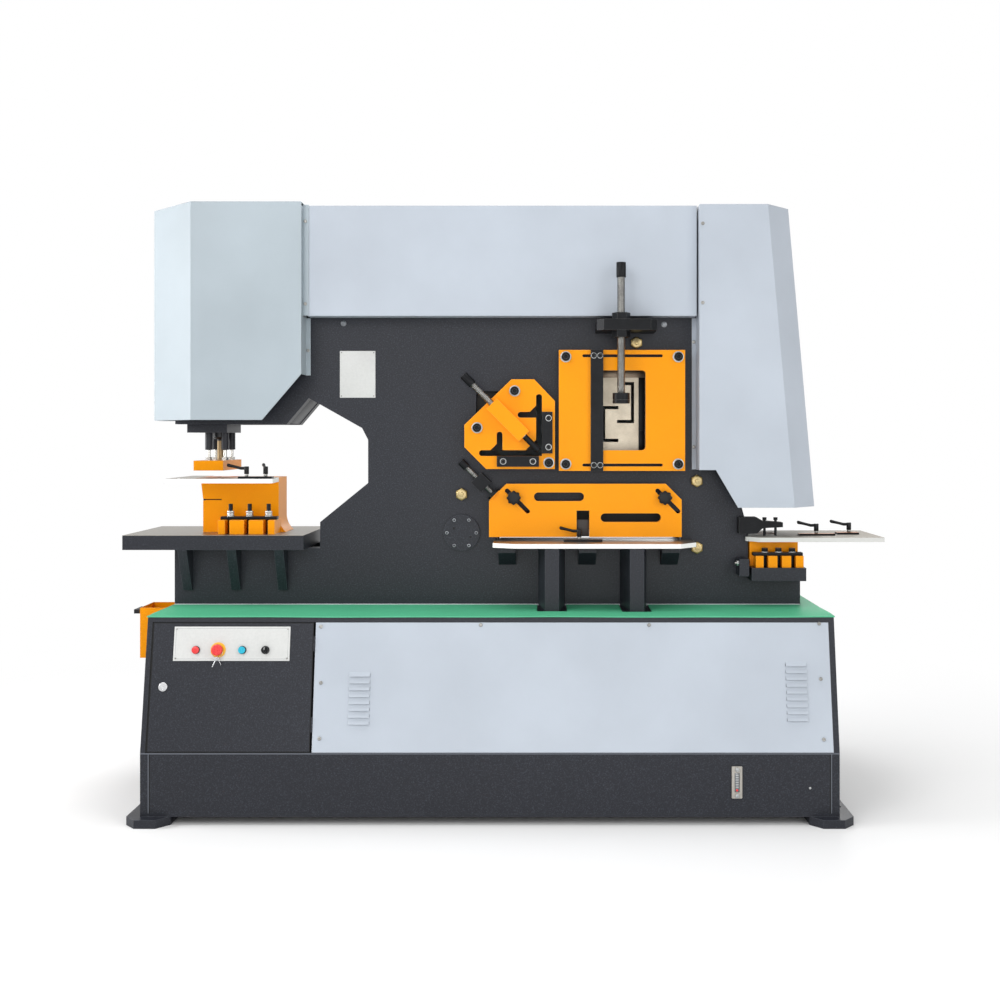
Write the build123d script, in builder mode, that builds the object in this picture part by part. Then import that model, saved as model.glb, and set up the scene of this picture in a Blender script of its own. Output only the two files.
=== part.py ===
from build123d import *
from math import cos, hypot, radians, sin
import os

# Hydraulic ironworker, in millimetres. The origin lies on the floor, midway between the four floor anchors.
# +X is to the right of the operator, +Y goes into the machine and +Z points up.

os.makedirs("parts", exist_ok=True)

# Shared sizes
overrun = 20
sheet = 2.5
running_fit = 0.05
loose_fit = 0.5
blade_gap = 0.3

# Base cabinet
base_half_length = 1225
base_half_depth = 510
base_top_half_depth = 430
plinth_top = 254
base_top = 715
end_plate = 20
base_wall = 10
lid_edge = 15
front_recess = 22
cabinet_rim = 26
foot_thickness = 30
foot_inset = 105
foot_reach = 50
foot_half_depth = 545
foot_corner = 40
anchor_reach = 25
anchor_y = 400
anchor_radius = 9

# Cabinet door and front panel
front_margin = 21
door_width = 573
door_panel_gap = 7
panel_gap = 1.5
hinge_radius = 3.4
hinge_pin_radius = 2
hinge_height = 25
hinge_leaf = 3
hinge_low = 70
hinge_high = 350
louver_pitch = 23.6
louver_rise = 16
louver_reach = 7
louver_skin = 1.5
left_louver_inset = 161
right_louver_inset = 121
louver_width = 74
left_louver_low = 96
right_louver_low = 108
left_louver_count = 8
right_louver_count = 9

# Control plate and its devices, placed along the sloping door
control_inset = 77
control_width = 413
control_low = 316
control_high = 436
control_plate_thickness = 2
control_row = 354
lamp_reach = 80
stop_reach = 159
button_reach = 245
selector_reach = 327
device_hole_radius = 11
bezel_radius = 14.5
bezel_height = 5
bezel_bore = 9
lamp_dome_height = 7
lamp_radius = 13.5
lamp_taper = 24
stop_disc_radius = 27
stop_disc_thickness = 1.5
stop_head_radius = 20
stop_head_height = 11
stop_travel = 5
stop_ring_gap = 2
button_travel = 3
button_cap_radius = 12.5
button_cap_height = 5
selector_radius = 12.5
selector_height = 9
selector_grip_width = 7
selector_grip_height = 8
device_depth = 34
lock_inset = 47
lock_row = 226
lock_radius = 15.5
lock_thickness = 4
lock_shaft_radius = 9
lock_cam_length = 42
lock_cam_thickness = 3
lock_slot = 3

# Oil level gauge
gauge_inset = 379
gauge_width = 37
gauge_low = 96
gauge_high = 208
gauge_depth = 12
gauge_tube_radius = 6
gauge_nut_radius = 8

# Rubber mat
mat_thickness = 4
mat_overhang = 3
mat_gap = 4

# Frame side plates
plate_thickness = 50
plate_half_gap = 90
bed_seat = 935
throat_floor_x = -668
throat_floor_z = 1034
throat_back_x = -484
throat_back_low = 1184
throat_back_high = 1349
throat_bend_x = -507
throat_bend_z = 1394
throat_roof_x = -711
throat_roof_z = 1509
head_left = -1223
head_right = -796
head_low = 1409
head_high = 1480
column_left = -925
plate_top = 2190
plate_top_right = 780
cylinder_seat = 1780
plate_right = 1040
nose_high = 1236
nose_x = 948
nose_low = 1088
notch_edge_x = 971
notch_edge_z = 1004
shelf_seat = 818
foot_right_inset = 54

# Station windows through the side plates
angle_window_left = -70
angle_window_right = 200
angle_window_low = 1275
angle_window_high = 1535
section_window_left = 385
section_window_right = 590
section_window_low = 1295
section_window_high = 1630
shear_window_left = 10
shear_window_right = 715
shear_window_high = 1075
offcut_drop = 78
window_radius = 14
blade_overlap = 20
blade_thickness = 30

# Spacers between the side plates
foot_spacer_high = 775
throat_spacer_left = -450
throat_spacer_right = -300
throat_spacer_high = 1700
top_spacer_low = 2110
top_spacer_left = -690
top_spacer_right = 760

# Swing beam, its pivot and its guides
beam_half_thickness = 60
pivot_x = -125
pivot_z = 994
pivot_radius = 55
pivot_boss_radius = 105
pivot_cap_radius = 69
pivot_cap_thickness = 10
pivot_screw_circle = 56
pivot_screw_radius = 6
pivot_screw_head = 4
pivot_screw_count = 6
beam_back_z = 1250
beam_shoulder_x = -100
beam_shoulder_z = 1640
beam_crest_x = 480
beam_crest_z = 1730
beam_pad_left = 860
beam_pad_z = 1600
beam_right = 1025
beam_right_high = 1560
beam_nose_low = 1250
blade_left = 20
blade_right = 700
blade_left_low = 975
blade_right_low = 1020
blade_height = 70
beam_backing = 25
fixed_blade_height = 70
guide_nut_radius = 24
guide_nut_height = 18
guide_screw_radius = 8
guide_screw_height = 10
guide_low_left_z = 1141
guide_right_x = 774
guide_right_z = 1192
guide_low_right_z = 937
guide_top_x = 543
guide_top_z = 1720

# Cylinders, punch ram and shear rod
punch_x = -1090
barrel_radius = 150
punch_barrel_high = 2060
neck_radius = 84
flange_left_reach = 100
flange_right_reach = 54
flange_half_depth = 100
flange_low = 1377
ram_radius = 38
ram_top = 1990
column_radius = 14
column_dx = 32
column_dy = 46
column_low = 1310
stud_radius = 7
stud_nut_radius = 13
stud_nut_height = 12
holder_radius = 30
holder_low = 1352
punch_radius = 12
punch_tip = 1238
shear_x = 950
shear_barrel_high = 2120
shear_neck_low = 1700
shear_rod_radius = 55
shear_rod_top = 1980
rod_end_gap = 3
rod_crown_radius = 120

# Hoods and beam cover
hood_half_depth = 235
hood_nose_half_depth = 50
left_hood_end = -1334
left_hood_bevel = -1135
left_hood_right = -720
left_hood_low = 1424
left_hood_high = 2243
left_hood_cut_x = -867
left_hood_cut_z = 1596
cover_left = -704
cover_right = 766
cover_low = 1817
cover_high = 2233
cover_half_depth = 205
guard_left = -110
guard_low = 1100
flange_strip = 16
right_hood_left = 772
right_hood_top_bevel = 1029
right_hood_top_end = 1125
right_hood_low_bevel = 1129
right_hood_low_end = 1225
right_hood_side_half = 140
right_hood_low = 1095
right_hood_high = 2233
right_hood_cut_x = 834
right_hood_cut_low_x = 917
right_hood_cut_z = 1236

# Punch station
bed_left = -1396
bed_right = -715
bed_half_depth = 220
bed_high = 990
bed_slug_radius = 45
gusset_thickness = 35
gusset_low = 775
gusset_toe = 12
gusset_left_x = -1172
gusset_middle_x = -987
gusset_right_x = -808
bolster_left_reach = 48
bolster_right_reach = 247
bolster_half_depth = 68
bolster_high = 1203
bolster_groove_z = 1119
bolster_groove_height = 6
bolster_groove_depth = 10
bolster_overhang = 10
bolster_flare = 28
bolster_flare_height = 62
foot_front = 170
foot_start = 39
foot_width = 216
foot_high = 1043
foot_slot_width = 18
clamp_bar_height = 12
clamp_bar_depth = 34
clamp_stud_radius = 8
clamp_stud_pitch = 73
clamp_nut_radius = 14
clamp_nut_height = 20
clamp_stud_high = 1103
die_radius = 36
die_bore = 13
table_thickness = 17
punch_table_left_reach = 146
punch_table_right_reach = 261
punch_table_front = 230
punch_table_back = 120
stripper_left_reach = 66
stripper_right_reach = 48
stripper_low = 1231
stripper_high = 1269
stripper_half_depth = 130
stripper_bore = 16
punch_fence_start = 127
punch_fence_length = 128
punch_fence_front = 214
punch_fence_back = 184
fence_thickness = 8

# Clamp levers
lever_hub_radius = 9
lever_hub_height = 38
lever_arm_length = 70
lever_arm_rise = 14
lever_root_radius = 6.5
lever_tip_radius = 5
lever_end_radius = 7
punch_lever_left_reach = 156
punch_lever_right_reach = 228

# Hold-down plates
hold_down_front = 200
hold_down_thickness = 22
hold_down_bolt_head = 15
hold_down_bolt_height = 16
hold_down_washer = 21
hold_down_washer_thickness = 3
hold_down_spacer = 27

# Angle station
angle_top = 1578
angle_right = 231
angle_low = 1239
angle_left = -111
angle_top_left = 67
angle_top_right = 153
angle_right_high = 1496
angle_bottom_left = -29
angle_left_low = 1322
angle_left_high = 1406
angle_slot_width = 22
angle_slot_x = 182
angle_slot_z = 1288
angle_slot_top = 1522
angle_slot_left = -56
angle_branch_x = 22
angle_branch_z = 1444
angle_branch_length = 70
angle_branch_corner = 24
angle_inner_corner = 40
guide_thickness = 14
guide_width = 40
side_guide_low = 1298
side_guide_high = 1455
floor_guide_left = 12
floor_guide_right = 171
side_screw_x = 207
side_screw_low = 1322
side_screw_high = 1431
floor_screw_z = 1268
floor_screw_left = 36
floor_screw_right = 148
guide_cap_radius = 9
guide_cap_height = 8
angle_housing_x = 55
angle_housing_z = 1424
angle_housing_length = 172
angle_housing_width = 55
angle_housing_height = 50
angle_screw_height = 27
angle_screw_radius = 12
angle_grip_radius = 16
angle_grip_length = 50
angle_screw_back = 238
angle_pad_radius = 11
angle_pad_start = 88
angle_pad_end = 163
screw_root_chamfer = 2
angle_bolt_top_x = 79
angle_bolt_top_z = 1534
angle_bolt_left_x = -63
angle_bolt_left_z = 1395
angle_bolt_corner_x = 208
angle_bolt_corner_z = 1263

# Section station
section_left = 246
section_right = 723
section_low = 1232
section_high = 1689
window_left = 400
window_right = 574
window_low = 1310
window_high = 1612
fence_slot_left = 335
fence_slot_right = 639
fence_slot_height = 11
fence_slot_inset = 22
section_bolt_inset = 26
fence_bar_left = 366
fence_bar_right = 413
fence_bar_thickness = 12
fence_screw_pitch = 24
fence_screw_radius = 9
fence_screw_height = 10
fence_stud_radius = 5
channel_slot = 12
upper_channel_left = 473
upper_channel_right = 539
upper_channel_low = 1414
upper_channel_high = 1573
lower_channel_left = 415
lower_channel_right = 478
lower_channel_low = 1341
lower_channel_high = 1480
bracket_left = 386
bracket_right = 610
bracket_low = 1756
bracket_high = 1797
bracket_front = 295
bracket_corner = 25
section_screw_x = 477
section_screw_y = -262
section_screw_radius = 15
section_screw_top = 2010
section_grip_radius = 18
section_grip_length = 56
section_nut_radius = 34
section_nut_height = 25
section_foot_radius = 32
section_foot_low = 1485
section_foot_high = 1524
section_foot_lip = 12

# Flat-bar station
flat_left = -18
flat_right = 710
flat_low = 982
flat_high = 1183
flat_left_corner = 65
flat_right_corner = 60
upper_oblong_left = 152
upper_oblong_right = 341
upper_oblong_z = 1134
lower_oblong_left = 404
lower_oblong_right = 632
lower_oblong_z = 1055
oblong_height = 33
flat_notch_left = 313
flat_notch_right = 361
flat_notch_high = 1082
knob_left_x = 76
knob_right_x = 645
knob_z = 1131
knob_slot_width = 17
knob_slot_up = 45
knob_slot_down = 82
knob_radius = 27
knob_lobe_count = 8
knob_lobe_radius = 5
knob_thickness = 22
knob_collar_radius = 13
knob_collar_height = 8
knob_stud_radius = 6
stop_block_x = -47
stop_block_z = 1189
stop_block_size = 53
stop_block_front = 225
stop_screw_radius = 10
stop_grip_radius = 15
stop_grip_back = 112
stop_grip_length = 34
stop_foot_radius = 25
stop_foot_thickness = 10
shear_table_top = 968
shear_table_left = 0
shear_table_right = 756
shear_table_front = 330
shear_table_left_corner_x = 82
shear_table_left_corner_y = 40
shear_table_right_corner = 65
shear_fence_left = 264
shear_fence_right = 408
shear_fence_front = 245
shear_fence_back = 207
shear_lever_x = 322
post_left_x = 219
post_right_x = 531
post_front = 324
post_front_width = 52
post_back_width = 102
post_sheet = 8
support_left_x = 50
support_middle_x = 354
support_right_x = 668
support_width = 66
support_reach = 70
support_height = 80
support_toe = 28

# Notching station
shelf_right = 1176
shelf_thickness = 49
shelf_front = 220
shelf_back = 190
notch_foot_left = 989
notch_foot_right = 1169
notch_foot_front = 208
notch_foot_height = 44
notch_block_left = 976
notch_block_right = 1160
notch_block_half_depth = 150
notch_table_top = 980
notch_table_left = 960
notch_table_right = 1477
notch_table_front = 200
notch_table_back = 130
notch_table_corner = 45
notch_die_left = 1020
notch_die_right = 1100
notch_die_half_depth = 55
notch_bolt_pitch = 52
notch_bolt_radius = 13
notch_bolt_height = 16
notch_bar_inset = 8
arm_left = 929
arm_right = 996
arm_low = 993
arm_high = 1056
arm_depth = 44
arm_tip = 1096
arm_tip_low = 1018
arm_tip_high = 1036
arm_waist_x = 1020
arm_waist_low = 1014
arm_waist_high = 1042
arm_screw_left_x = 1030
arm_screw_right_x = 1072
arm_screw_radius = 5
arm_screw_head = 8
arm_screw_head_height = 10
arm_screw_high = 1044
arm_screw_low = 984
adjust_block_left = 925
adjust_block_right = 961
adjust_block_low = 836
adjust_block_high = 900
first_slide_left = 1172
first_slide_right = 1311
first_slide_front = 120
first_slide_back = 92
first_lever_x = 1241
second_slide_left = 1332
second_slide_right = 1417
second_slide_front = 70
second_slide_back = 30
second_lever_x = 1382

# Slug bin
bin_length = 140
bin_front = 120
bin_back = 30
bin_low = 510
bin_high = 703
bin_wall = 2
bin_handle_radius = 8
bin_handle_reach = 36
bin_handle_drop = 12
bin_handle_width = 80

# Motor, pump and electrical panel
motor_x = 120
motor_radius = 125
motor_length = 380
motor_foot_height = 30
pump_radius = 62
pump_length = 150
pump_bell_radius = 95
pump_bell_length = 60
motor_rib_height = 12
motor_rib_count = 12
motor_rib_width = 6
switch_plate_left = -1150
switch_plate_right = -700
switch_plate_low = 300
switch_plate_high = 660
switch_plate_y = 380
switch_plate_thickness = 3
switch_box_depth = 80
switch_box_gap = 30

# Places worked out from the sizes above
foot_inner_x = base_half_length - foot_inset
foot_outer_x = base_half_length + foot_reach
anchor_x = base_half_length + anchor_reach
door_left = -base_half_length + front_margin
door_right = door_left + door_width
panel_left = door_right + door_panel_gap
panel_right = base_half_length - front_margin
left_louver_x = panel_left + left_louver_inset
right_louver_x = panel_right - right_louver_inset
control_left = door_left + control_inset
control_right = control_left + control_width
lamp_x = control_left + lamp_reach
stop_x = control_left + stop_reach
button_x = control_left + button_reach
selector_x = control_left + selector_reach
lock_x = door_left + lock_inset
gauge_left = base_half_length - gauge_inset
gauge_right = gauge_left + gauge_width
foot_right = base_half_length - foot_right_inset
bolster_left = punch_x - bolster_left_reach
bolster_right = punch_x + bolster_right_reach
foot_left = punch_x + foot_start
foot_right_x = foot_left + foot_width
punch_table_left = punch_x - punch_table_left_reach
punch_table_right = punch_x + punch_table_right_reach
punch_fence_left = punch_x + punch_fence_start
punch_fence_right = punch_fence_left + punch_fence_length
punch_lever_left_x = punch_x + punch_lever_left_reach
punch_lever_right_x = punch_x + punch_lever_right_reach
stripper_left = punch_x - stripper_left_reach
stripper_right = punch_x + stripper_right_reach
plate_front = plate_half_gap + plate_thickness
slope_run = base_half_depth - base_top_half_depth
slope_rise = base_top - plinth_top
slope_length = hypot(slope_run, slope_rise)
slope_sin = slope_run / slope_length
slope_cos = slope_rise / slope_length
slope = Plane(
    origin=(0, -base_half_depth, plinth_top),
    x_dir=(1, 0, 0),
    z_dir=(0, -slope_cos, slope_sin),
)
panel_high = slope_length - lid_edge / slope_cos - panel_gap
hinge_x = (door_right + panel_left) / 2
half_turn_share = cos(radians(45))
shear_table_low = shear_table_top - table_thickness
notch_table_low = notch_table_top - table_thickness
shelf_high = shelf_seat + shelf_thickness
hold_down_back = hold_down_front - hold_down_thickness


def facing_front(y):
    """A plane that faces the operator at depth y, with X to the right and Z up."""
    return Plane.XZ.offset(-y)


def block(low_x, high_x, low_y, high_y, low_z, high_z, mode=Mode.ADD):
    """A box between two corners, inside the part that is being built."""
    with Locations(((low_x + high_x) / 2, (low_y + high_y) / 2, (low_z + high_z) / 2)):
        Box(high_x - low_x, high_y - low_y, high_z - low_z, mode=mode)


def upright(x, y, low_z, high_z, radius, mode=Mode.ADD):
    """A cylinder that stands on its end, inside the part that is being built."""
    with Locations((x, y, (low_z + high_z) / 2)):
        Cylinder(radius, high_z - low_z, mode=mode)


# Base cabinet: a welded box with a sloping front and back, end plates and two long foot plates
with BuildPart() as base_frame:
    with BuildSketch(Plane.YZ.offset(-base_half_length)):
        Polygon(
            (-base_half_depth, foot_thickness),
            (base_half_depth, foot_thickness),
            (base_half_depth, plinth_top),
            (base_top_half_depth, base_top),
            (-base_top_half_depth, base_top),
            (-base_half_depth, plinth_top),
            align=None,
        )
    extrude(amount=2 * base_half_length)
    inner_half_length = base_half_length - end_plate
    with BuildSketch(slope):
        with Locations((0, panel_high / 2)):
            Rectangle(2 * inner_half_length, panel_high + panel_gap)
    extrude(amount=-front_recess, mode=Mode.SUBTRACT)
    cavity_low = plinth_top + base_wall
    cavity_high = base_top - base_wall
    front_shift = (front_recess + base_wall) / slope_cos
    lean_low = base_wall * slope_run / slope_rise
    lean_high = (cavity_high - plinth_top) * slope_run / slope_rise
    with BuildSketch(Plane.YZ.offset(-inner_half_length)):
        Polygon(
            (-base_half_depth + lean_low + front_shift, cavity_low),
            (base_half_depth - lean_low - base_wall / slope_cos, cavity_low),
            (base_half_depth - lean_high - base_wall / slope_cos, cavity_high),
            (-base_half_depth + lean_high + front_shift, cavity_high),
            align=None,
        )
    extrude(amount=2 * inner_half_length, mode=Mode.SUBTRACT)
    door_middle = (door_left + door_right) / 2
    panel_middle = (panel_left + panel_right) / 2
    with BuildSketch(slope):
        with Locations((door_middle, panel_high / 2)):
            Rectangle(door_right - door_left - 2 * cabinet_rim, panel_high - 2 * cabinet_rim)
        with Locations((panel_middle, panel_high / 2)):
            Rectangle(panel_right - panel_left - 2 * cabinet_rim, panel_high - 2 * cabinet_rim)
    extrude(amount=-front_recess - base_wall - overrun, mode=Mode.SUBTRACT)
    foot_middle = (foot_inner_x + foot_outer_x) / 2
    with BuildSketch(Plane.XY) as foot_plan:
        with Locations((-foot_middle, 0), (foot_middle, 0)):
            Rectangle(foot_outer_x - foot_inner_x, 2 * foot_half_depth)
        chamfer(foot_plan.vertices(), foot_corner)
    extrude(amount=foot_thickness)
    with Locations(*[(sx * anchor_x, sy * anchor_y, foot_thickness) for sx in (-1, 1) for sy in (-1, 1)]):
        Hole(anchor_radius, depth=foot_thickness)
    for low in (hinge_low, hinge_high):
        hinge_foot = slope.from_local_coords((hinge_x, low, 0))
        with BuildSketch(Plane(hinge_foot, x_dir=slope.x_dir, z_dir=slope.y_dir)):
            Circle(hinge_radius)
            with Locations((0, front_recess / 2)):
                Rectangle(hinge_leaf, front_recess)
        extrude(amount=hinge_height)
        pin_foot = slope.from_local_coords((hinge_x, low + hinge_height, 0))
        with BuildSketch(Plane(pin_foot, x_dir=slope.x_dir, z_dir=slope.y_dir)):
            Circle(hinge_pin_radius)
        extrude(amount=hinge_height)
base_frame.part.label = "base_frame"
export_step(base_frame.part, "parts/base_frame.step")

# Front panel: a folded grey sheet with two banks of pressed louvers
with BuildPart() as front_panel:
    with BuildSketch(slope):
        with Locations((panel_middle, panel_high / 2)):
            Rectangle(panel_right - panel_left, panel_high - panel_gap)
    extrude(amount=-front_recess)
    with BuildSketch(slope.offset(-sheet)):
        with Locations((panel_middle, panel_high / 2)):
            Rectangle(panel_right - panel_left - 2 * sheet, panel_high - panel_gap - 2 * sheet)
    extrude(amount=-front_recess, mode=Mode.SUBTRACT)
    louver_banks = (
        (left_louver_x, left_louver_low, left_louver_count),
        (right_louver_x, right_louver_low, right_louver_count),
    )
    for bank_x, bank_low, louver_count in louver_banks:
        for step in range(louver_count):
            low = bank_low + step * louver_pitch
            side = Plane(
                slope.from_local_coords((bank_x - louver_width / 2, low, 0)),
                x_dir=slope.y_dir,
                z_dir=slope.x_dir,
            )
            with BuildSketch(side):
                Polygon(
                    (0, -front_recess),
                    (louver_rise - 2 * louver_skin, -front_recess),
                    (louver_rise - 2 * louver_skin, louver_reach),
                    (0, louver_reach),
                    align=None,
                )
            extrude(amount=louver_width, mode=Mode.SUBTRACT)
            with BuildSketch(side):
                Polygon(
                    (louver_rise - 2 * louver_skin, -sheet),
                    (louver_rise, -sheet),
                    (louver_rise, 0),
                    (0, louver_reach),
                    (0, louver_reach - louver_skin),
                    (louver_rise - 2 * louver_skin, 0),
                    align=None,
                )
            extrude(amount=louver_width)
front_panel.part.label = "front_panel"
export_step(front_panel.part, "parts/front_panel.step")

# Cabinet door: a folded pan that hangs on two lift-off hinges at its right edge
with BuildPart() as cabinet_door:
    with BuildSketch(slope):
        with Locations((door_middle, panel_high / 2)):
            Rectangle(door_right - door_left, panel_high - panel_gap)
    extrude(amount=-front_recess + panel_gap)
    with BuildSketch(slope.offset(-sheet)):
        with Locations((door_middle, panel_high / 2)):
            Rectangle(door_right - door_left - 2 * sheet, panel_high - panel_gap - 2 * sheet)
    extrude(amount=-front_recess, mode=Mode.SUBTRACT)
    with BuildSketch(slope):
        with Locations(*[(x, control_row) for x in (lamp_x, stop_x, button_x, selector_x)]):
            Circle(device_hole_radius)
        with Locations((lock_x, lock_row)):
            Circle(lock_shaft_radius + running_fit)
    extrude(amount=-sheet, mode=Mode.SUBTRACT)
    for low in (hinge_low, hinge_high):
        knuckle_foot = slope.from_local_coords((hinge_x, low + hinge_height + panel_gap / 2, 0))
        with BuildSketch(Plane(knuckle_foot, x_dir=slope.x_dir, z_dir=slope.y_dir)):
            Circle(hinge_radius)
            with Locations(((door_right - hinge_x) / 2 - sheet, sheet / 2)):
                Rectangle(hinge_x - door_right + 2 * sheet, sheet)
            Circle(hinge_pin_radius + running_fit, mode=Mode.SUBTRACT)
        extrude(amount=hinge_height)
cabinet_door.part.label = "cabinet_door"
export_step(cabinet_door.part, "parts/cabinet_door.step")

# Control panel: a thin white plate with a bezel for each device, the pilot lamp and the yellow stop disc
with BuildPart() as control_panel:
    with BuildSketch(slope):
        with Locations(((control_left + control_right) / 2, (control_low + control_high) / 2)):
            Rectangle(control_right - control_left, control_high - control_low)
        with Locations(*[(x, control_row) for x in (lamp_x, stop_x, button_x, selector_x)]):
            Circle(device_hole_radius, mode=Mode.SUBTRACT)
    extrude(amount=control_plate_thickness)
    with BuildSketch(slope.offset(control_plate_thickness)):
        with Locations((stop_x, control_row)):
            Circle(stop_disc_radius)
    extrude(amount=stop_disc_thickness)
    with BuildSketch(slope.offset(control_plate_thickness)):
        with Locations(*[(x, control_row) for x in (lamp_x, stop_x, button_x, selector_x)]):
            Circle(bezel_radius)
    extrude(amount=bezel_height)
    with BuildSketch(slope.offset(-device_depth)):
        with Locations(*[(x, control_row) for x in (lamp_x, stop_x, button_x, selector_x)]):
            Circle(device_hole_radius - loose_fit)
    extrude(amount=device_depth + control_plate_thickness + bezel_height)
    with BuildSketch(slope.offset(-device_depth + base_wall)):
        with Locations(*[(x, control_row) for x in (stop_x, button_x, selector_x)]):
            Circle(bezel_bore)
    extrude(amount=device_depth + bezel_height, mode=Mode.SUBTRACT)
    with BuildSketch(slope.offset(control_plate_thickness + bezel_height)):
        with Locations((lamp_x, control_row)):
            Circle(lamp_radius)
    extrude(amount=lamp_dome_height, taper=lamp_taper)
control_panel.part.label = "control_panel"
export_step(control_panel.part, "parts/control_panel.step")

# Emergency stop: a red mushroom on a stem that slides in its bezel
device_face = control_plate_thickness + bezel_height
with BuildPart() as emergency_stop:
    with BuildSketch(slope.offset(-device_depth + base_wall + stop_travel + loose_fit)):
        with Locations((stop_x, control_row)):
            Circle(bezel_bore - running_fit)
    extrude(amount=device_depth - base_wall + device_face + stop_ring_gap)
    with BuildSketch(slope.offset(device_face + stop_travel + loose_fit + stop_ring_gap)):
        with Locations((stop_x, control_row)):
            Circle(stop_head_radius)
    extrude(amount=stop_head_height)
    mushroom_top = emergency_stop.faces().sort_by(Axis(slope.origin, slope.z_dir))[-1]
    fillet(mushroom_top.edges(), stop_head_height / 2)
emergency_stop.part.label = "emergency_stop"
export_step(emergency_stop.part, "parts/emergency_stop.step")

# Push button: a round cap on a stem that slides in its bezel
with BuildPart() as push_button:
    with BuildSketch(slope.offset(-device_depth + base_wall + button_travel + loose_fit)):
        with Locations((button_x, control_row)):
            Circle(bezel_bore - running_fit)
    extrude(amount=device_depth - base_wall + device_face)
    with BuildSketch(slope.offset(device_face + button_travel + loose_fit)):
        with Locations((button_x, control_row)):
            Circle(button_cap_radius)
    extrude(amount=button_cap_height)
    fillet(push_button.faces().sort_by(Axis(slope.origin, slope.z_dir))[-1].edges(), button_cap_height / 3)
push_button.part.label = "push_button"
export_step(push_button.part, "parts/push_button.step")

# Selector: a round knob with a raised grip that turns in its bezel
with BuildPart() as selector_knob:
    with BuildSketch(slope.offset(-device_depth + base_wall + loose_fit)):
        with Locations((selector_x, control_row)):
            Circle(bezel_bore - running_fit)
    extrude(amount=device_depth - base_wall + device_face)
    with BuildSketch(slope.offset(device_face + loose_fit)):
        with Locations((selector_x, control_row)):
            Circle(selector_radius)
    extrude(amount=selector_height)
    with BuildSketch(slope.offset(device_face + selector_height)):
        with Locations((selector_x, control_row)):
            Rectangle(selector_grip_width, 2 * selector_radius - selector_grip_width / 2)
    extrude(amount=selector_grip_height)
selector_knob.part.label = "selector_knob"
export_step(selector_knob.part, "parts/selector_knob.step")

# Door lock: a slotted chrome cylinder with a cam behind the door
with BuildPart() as door_lock:
    with BuildSketch(slope.offset(loose_fit)):
        with Locations((lock_x, lock_row)):
            Circle(lock_radius)
    extrude(amount=lock_thickness)
    cam_back = front_recess + base_wall + panel_gap + lock_cam_thickness
    with BuildSketch(slope.offset(-cam_back)):
        with Locations((lock_x, lock_row)):
            Circle(lock_shaft_radius)
    extrude(amount=cam_back + loose_fit)
    with BuildSketch(slope.offset(-cam_back)):
        with Locations((lock_x, lock_row + lock_cam_length / 2 - lock_shaft_radius)):
            Rectangle(2 * lock_shaft_radius, lock_cam_length)
    extrude(amount=lock_cam_thickness)
    with BuildSketch(slope.offset(loose_fit + lock_thickness)):
        with Locations((lock_x, lock_row)):
            Rectangle(lock_slot, lock_radius)
    extrude(amount=-lock_thickness / 2, mode=Mode.SUBTRACT)
door_lock.part.label = "door_lock"
export_step(door_lock.part, "parts/door_lock.step")

# Oil level gauge: a frame with a sight tube held by two dome nuts
gauge_x = (gauge_left + gauge_right) / 2
with BuildPart() as oil_gauge:
    with BuildSketch(facing_front(-base_half_depth)):
        with Locations((gauge_x, (gauge_low + gauge_high) / 2)):
            RectangleRounded(gauge_right - gauge_left, gauge_high - gauge_low, gauge_tube_radius)
    extrude(amount=gauge_depth)
    with BuildSketch(facing_front(-base_half_depth - gauge_depth)):
        with Locations((gauge_x, (gauge_low + gauge_high) / 2)):
            Rectangle(2 * gauge_tube_radius, gauge_high - gauge_low - 4 * gauge_nut_radius)
    extrude(amount=-gauge_depth / 2, mode=Mode.SUBTRACT)
    with BuildSketch(facing_front(-base_half_depth - gauge_depth)):
        gauge_nut_inset = 1.5 * gauge_nut_radius
        with Locations((gauge_x, gauge_low + gauge_nut_inset), (gauge_x, gauge_high - gauge_nut_inset)):
            RegularPolygon(gauge_nut_radius, 6)
    extrude(amount=gauge_nut_radius)
oil_gauge.part.label = "oil_gauge"
export_step(oil_gauge.part, "parts/oil_gauge.step")

# Rubber mat: a sheet laid on the base top, cut out around the frame and the table posts
with BuildPart() as rubber_mat:
    with BuildSketch(Plane.XY.offset(base_top)):
        Rectangle(2 * (base_half_length + mat_overhang), 2 * (base_top_half_depth + mat_overhang))
        frame_left = -base_half_length - mat_overhang
        frame_right = foot_right + mat_gap
        with Locations(((frame_left + frame_right) / 2, 0)):
            Rectangle(frame_right - frame_left, 2 * (plate_front + mat_gap), mode=Mode.SUBTRACT)
        with Locations(*[(x, -(plate_front + post_front) / 2) for x in (post_left_x, post_right_x)]):
            Rectangle(
                post_back_width + 2 * mat_gap,
                post_front - plate_front + 2 * mat_gap,
                mode=Mode.SUBTRACT,
            )
    extrude(amount=mat_thickness)
rubber_mat.part.label = "rubber_mat"
export_step(rubber_mat.part, "parts/rubber_mat.step")

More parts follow.
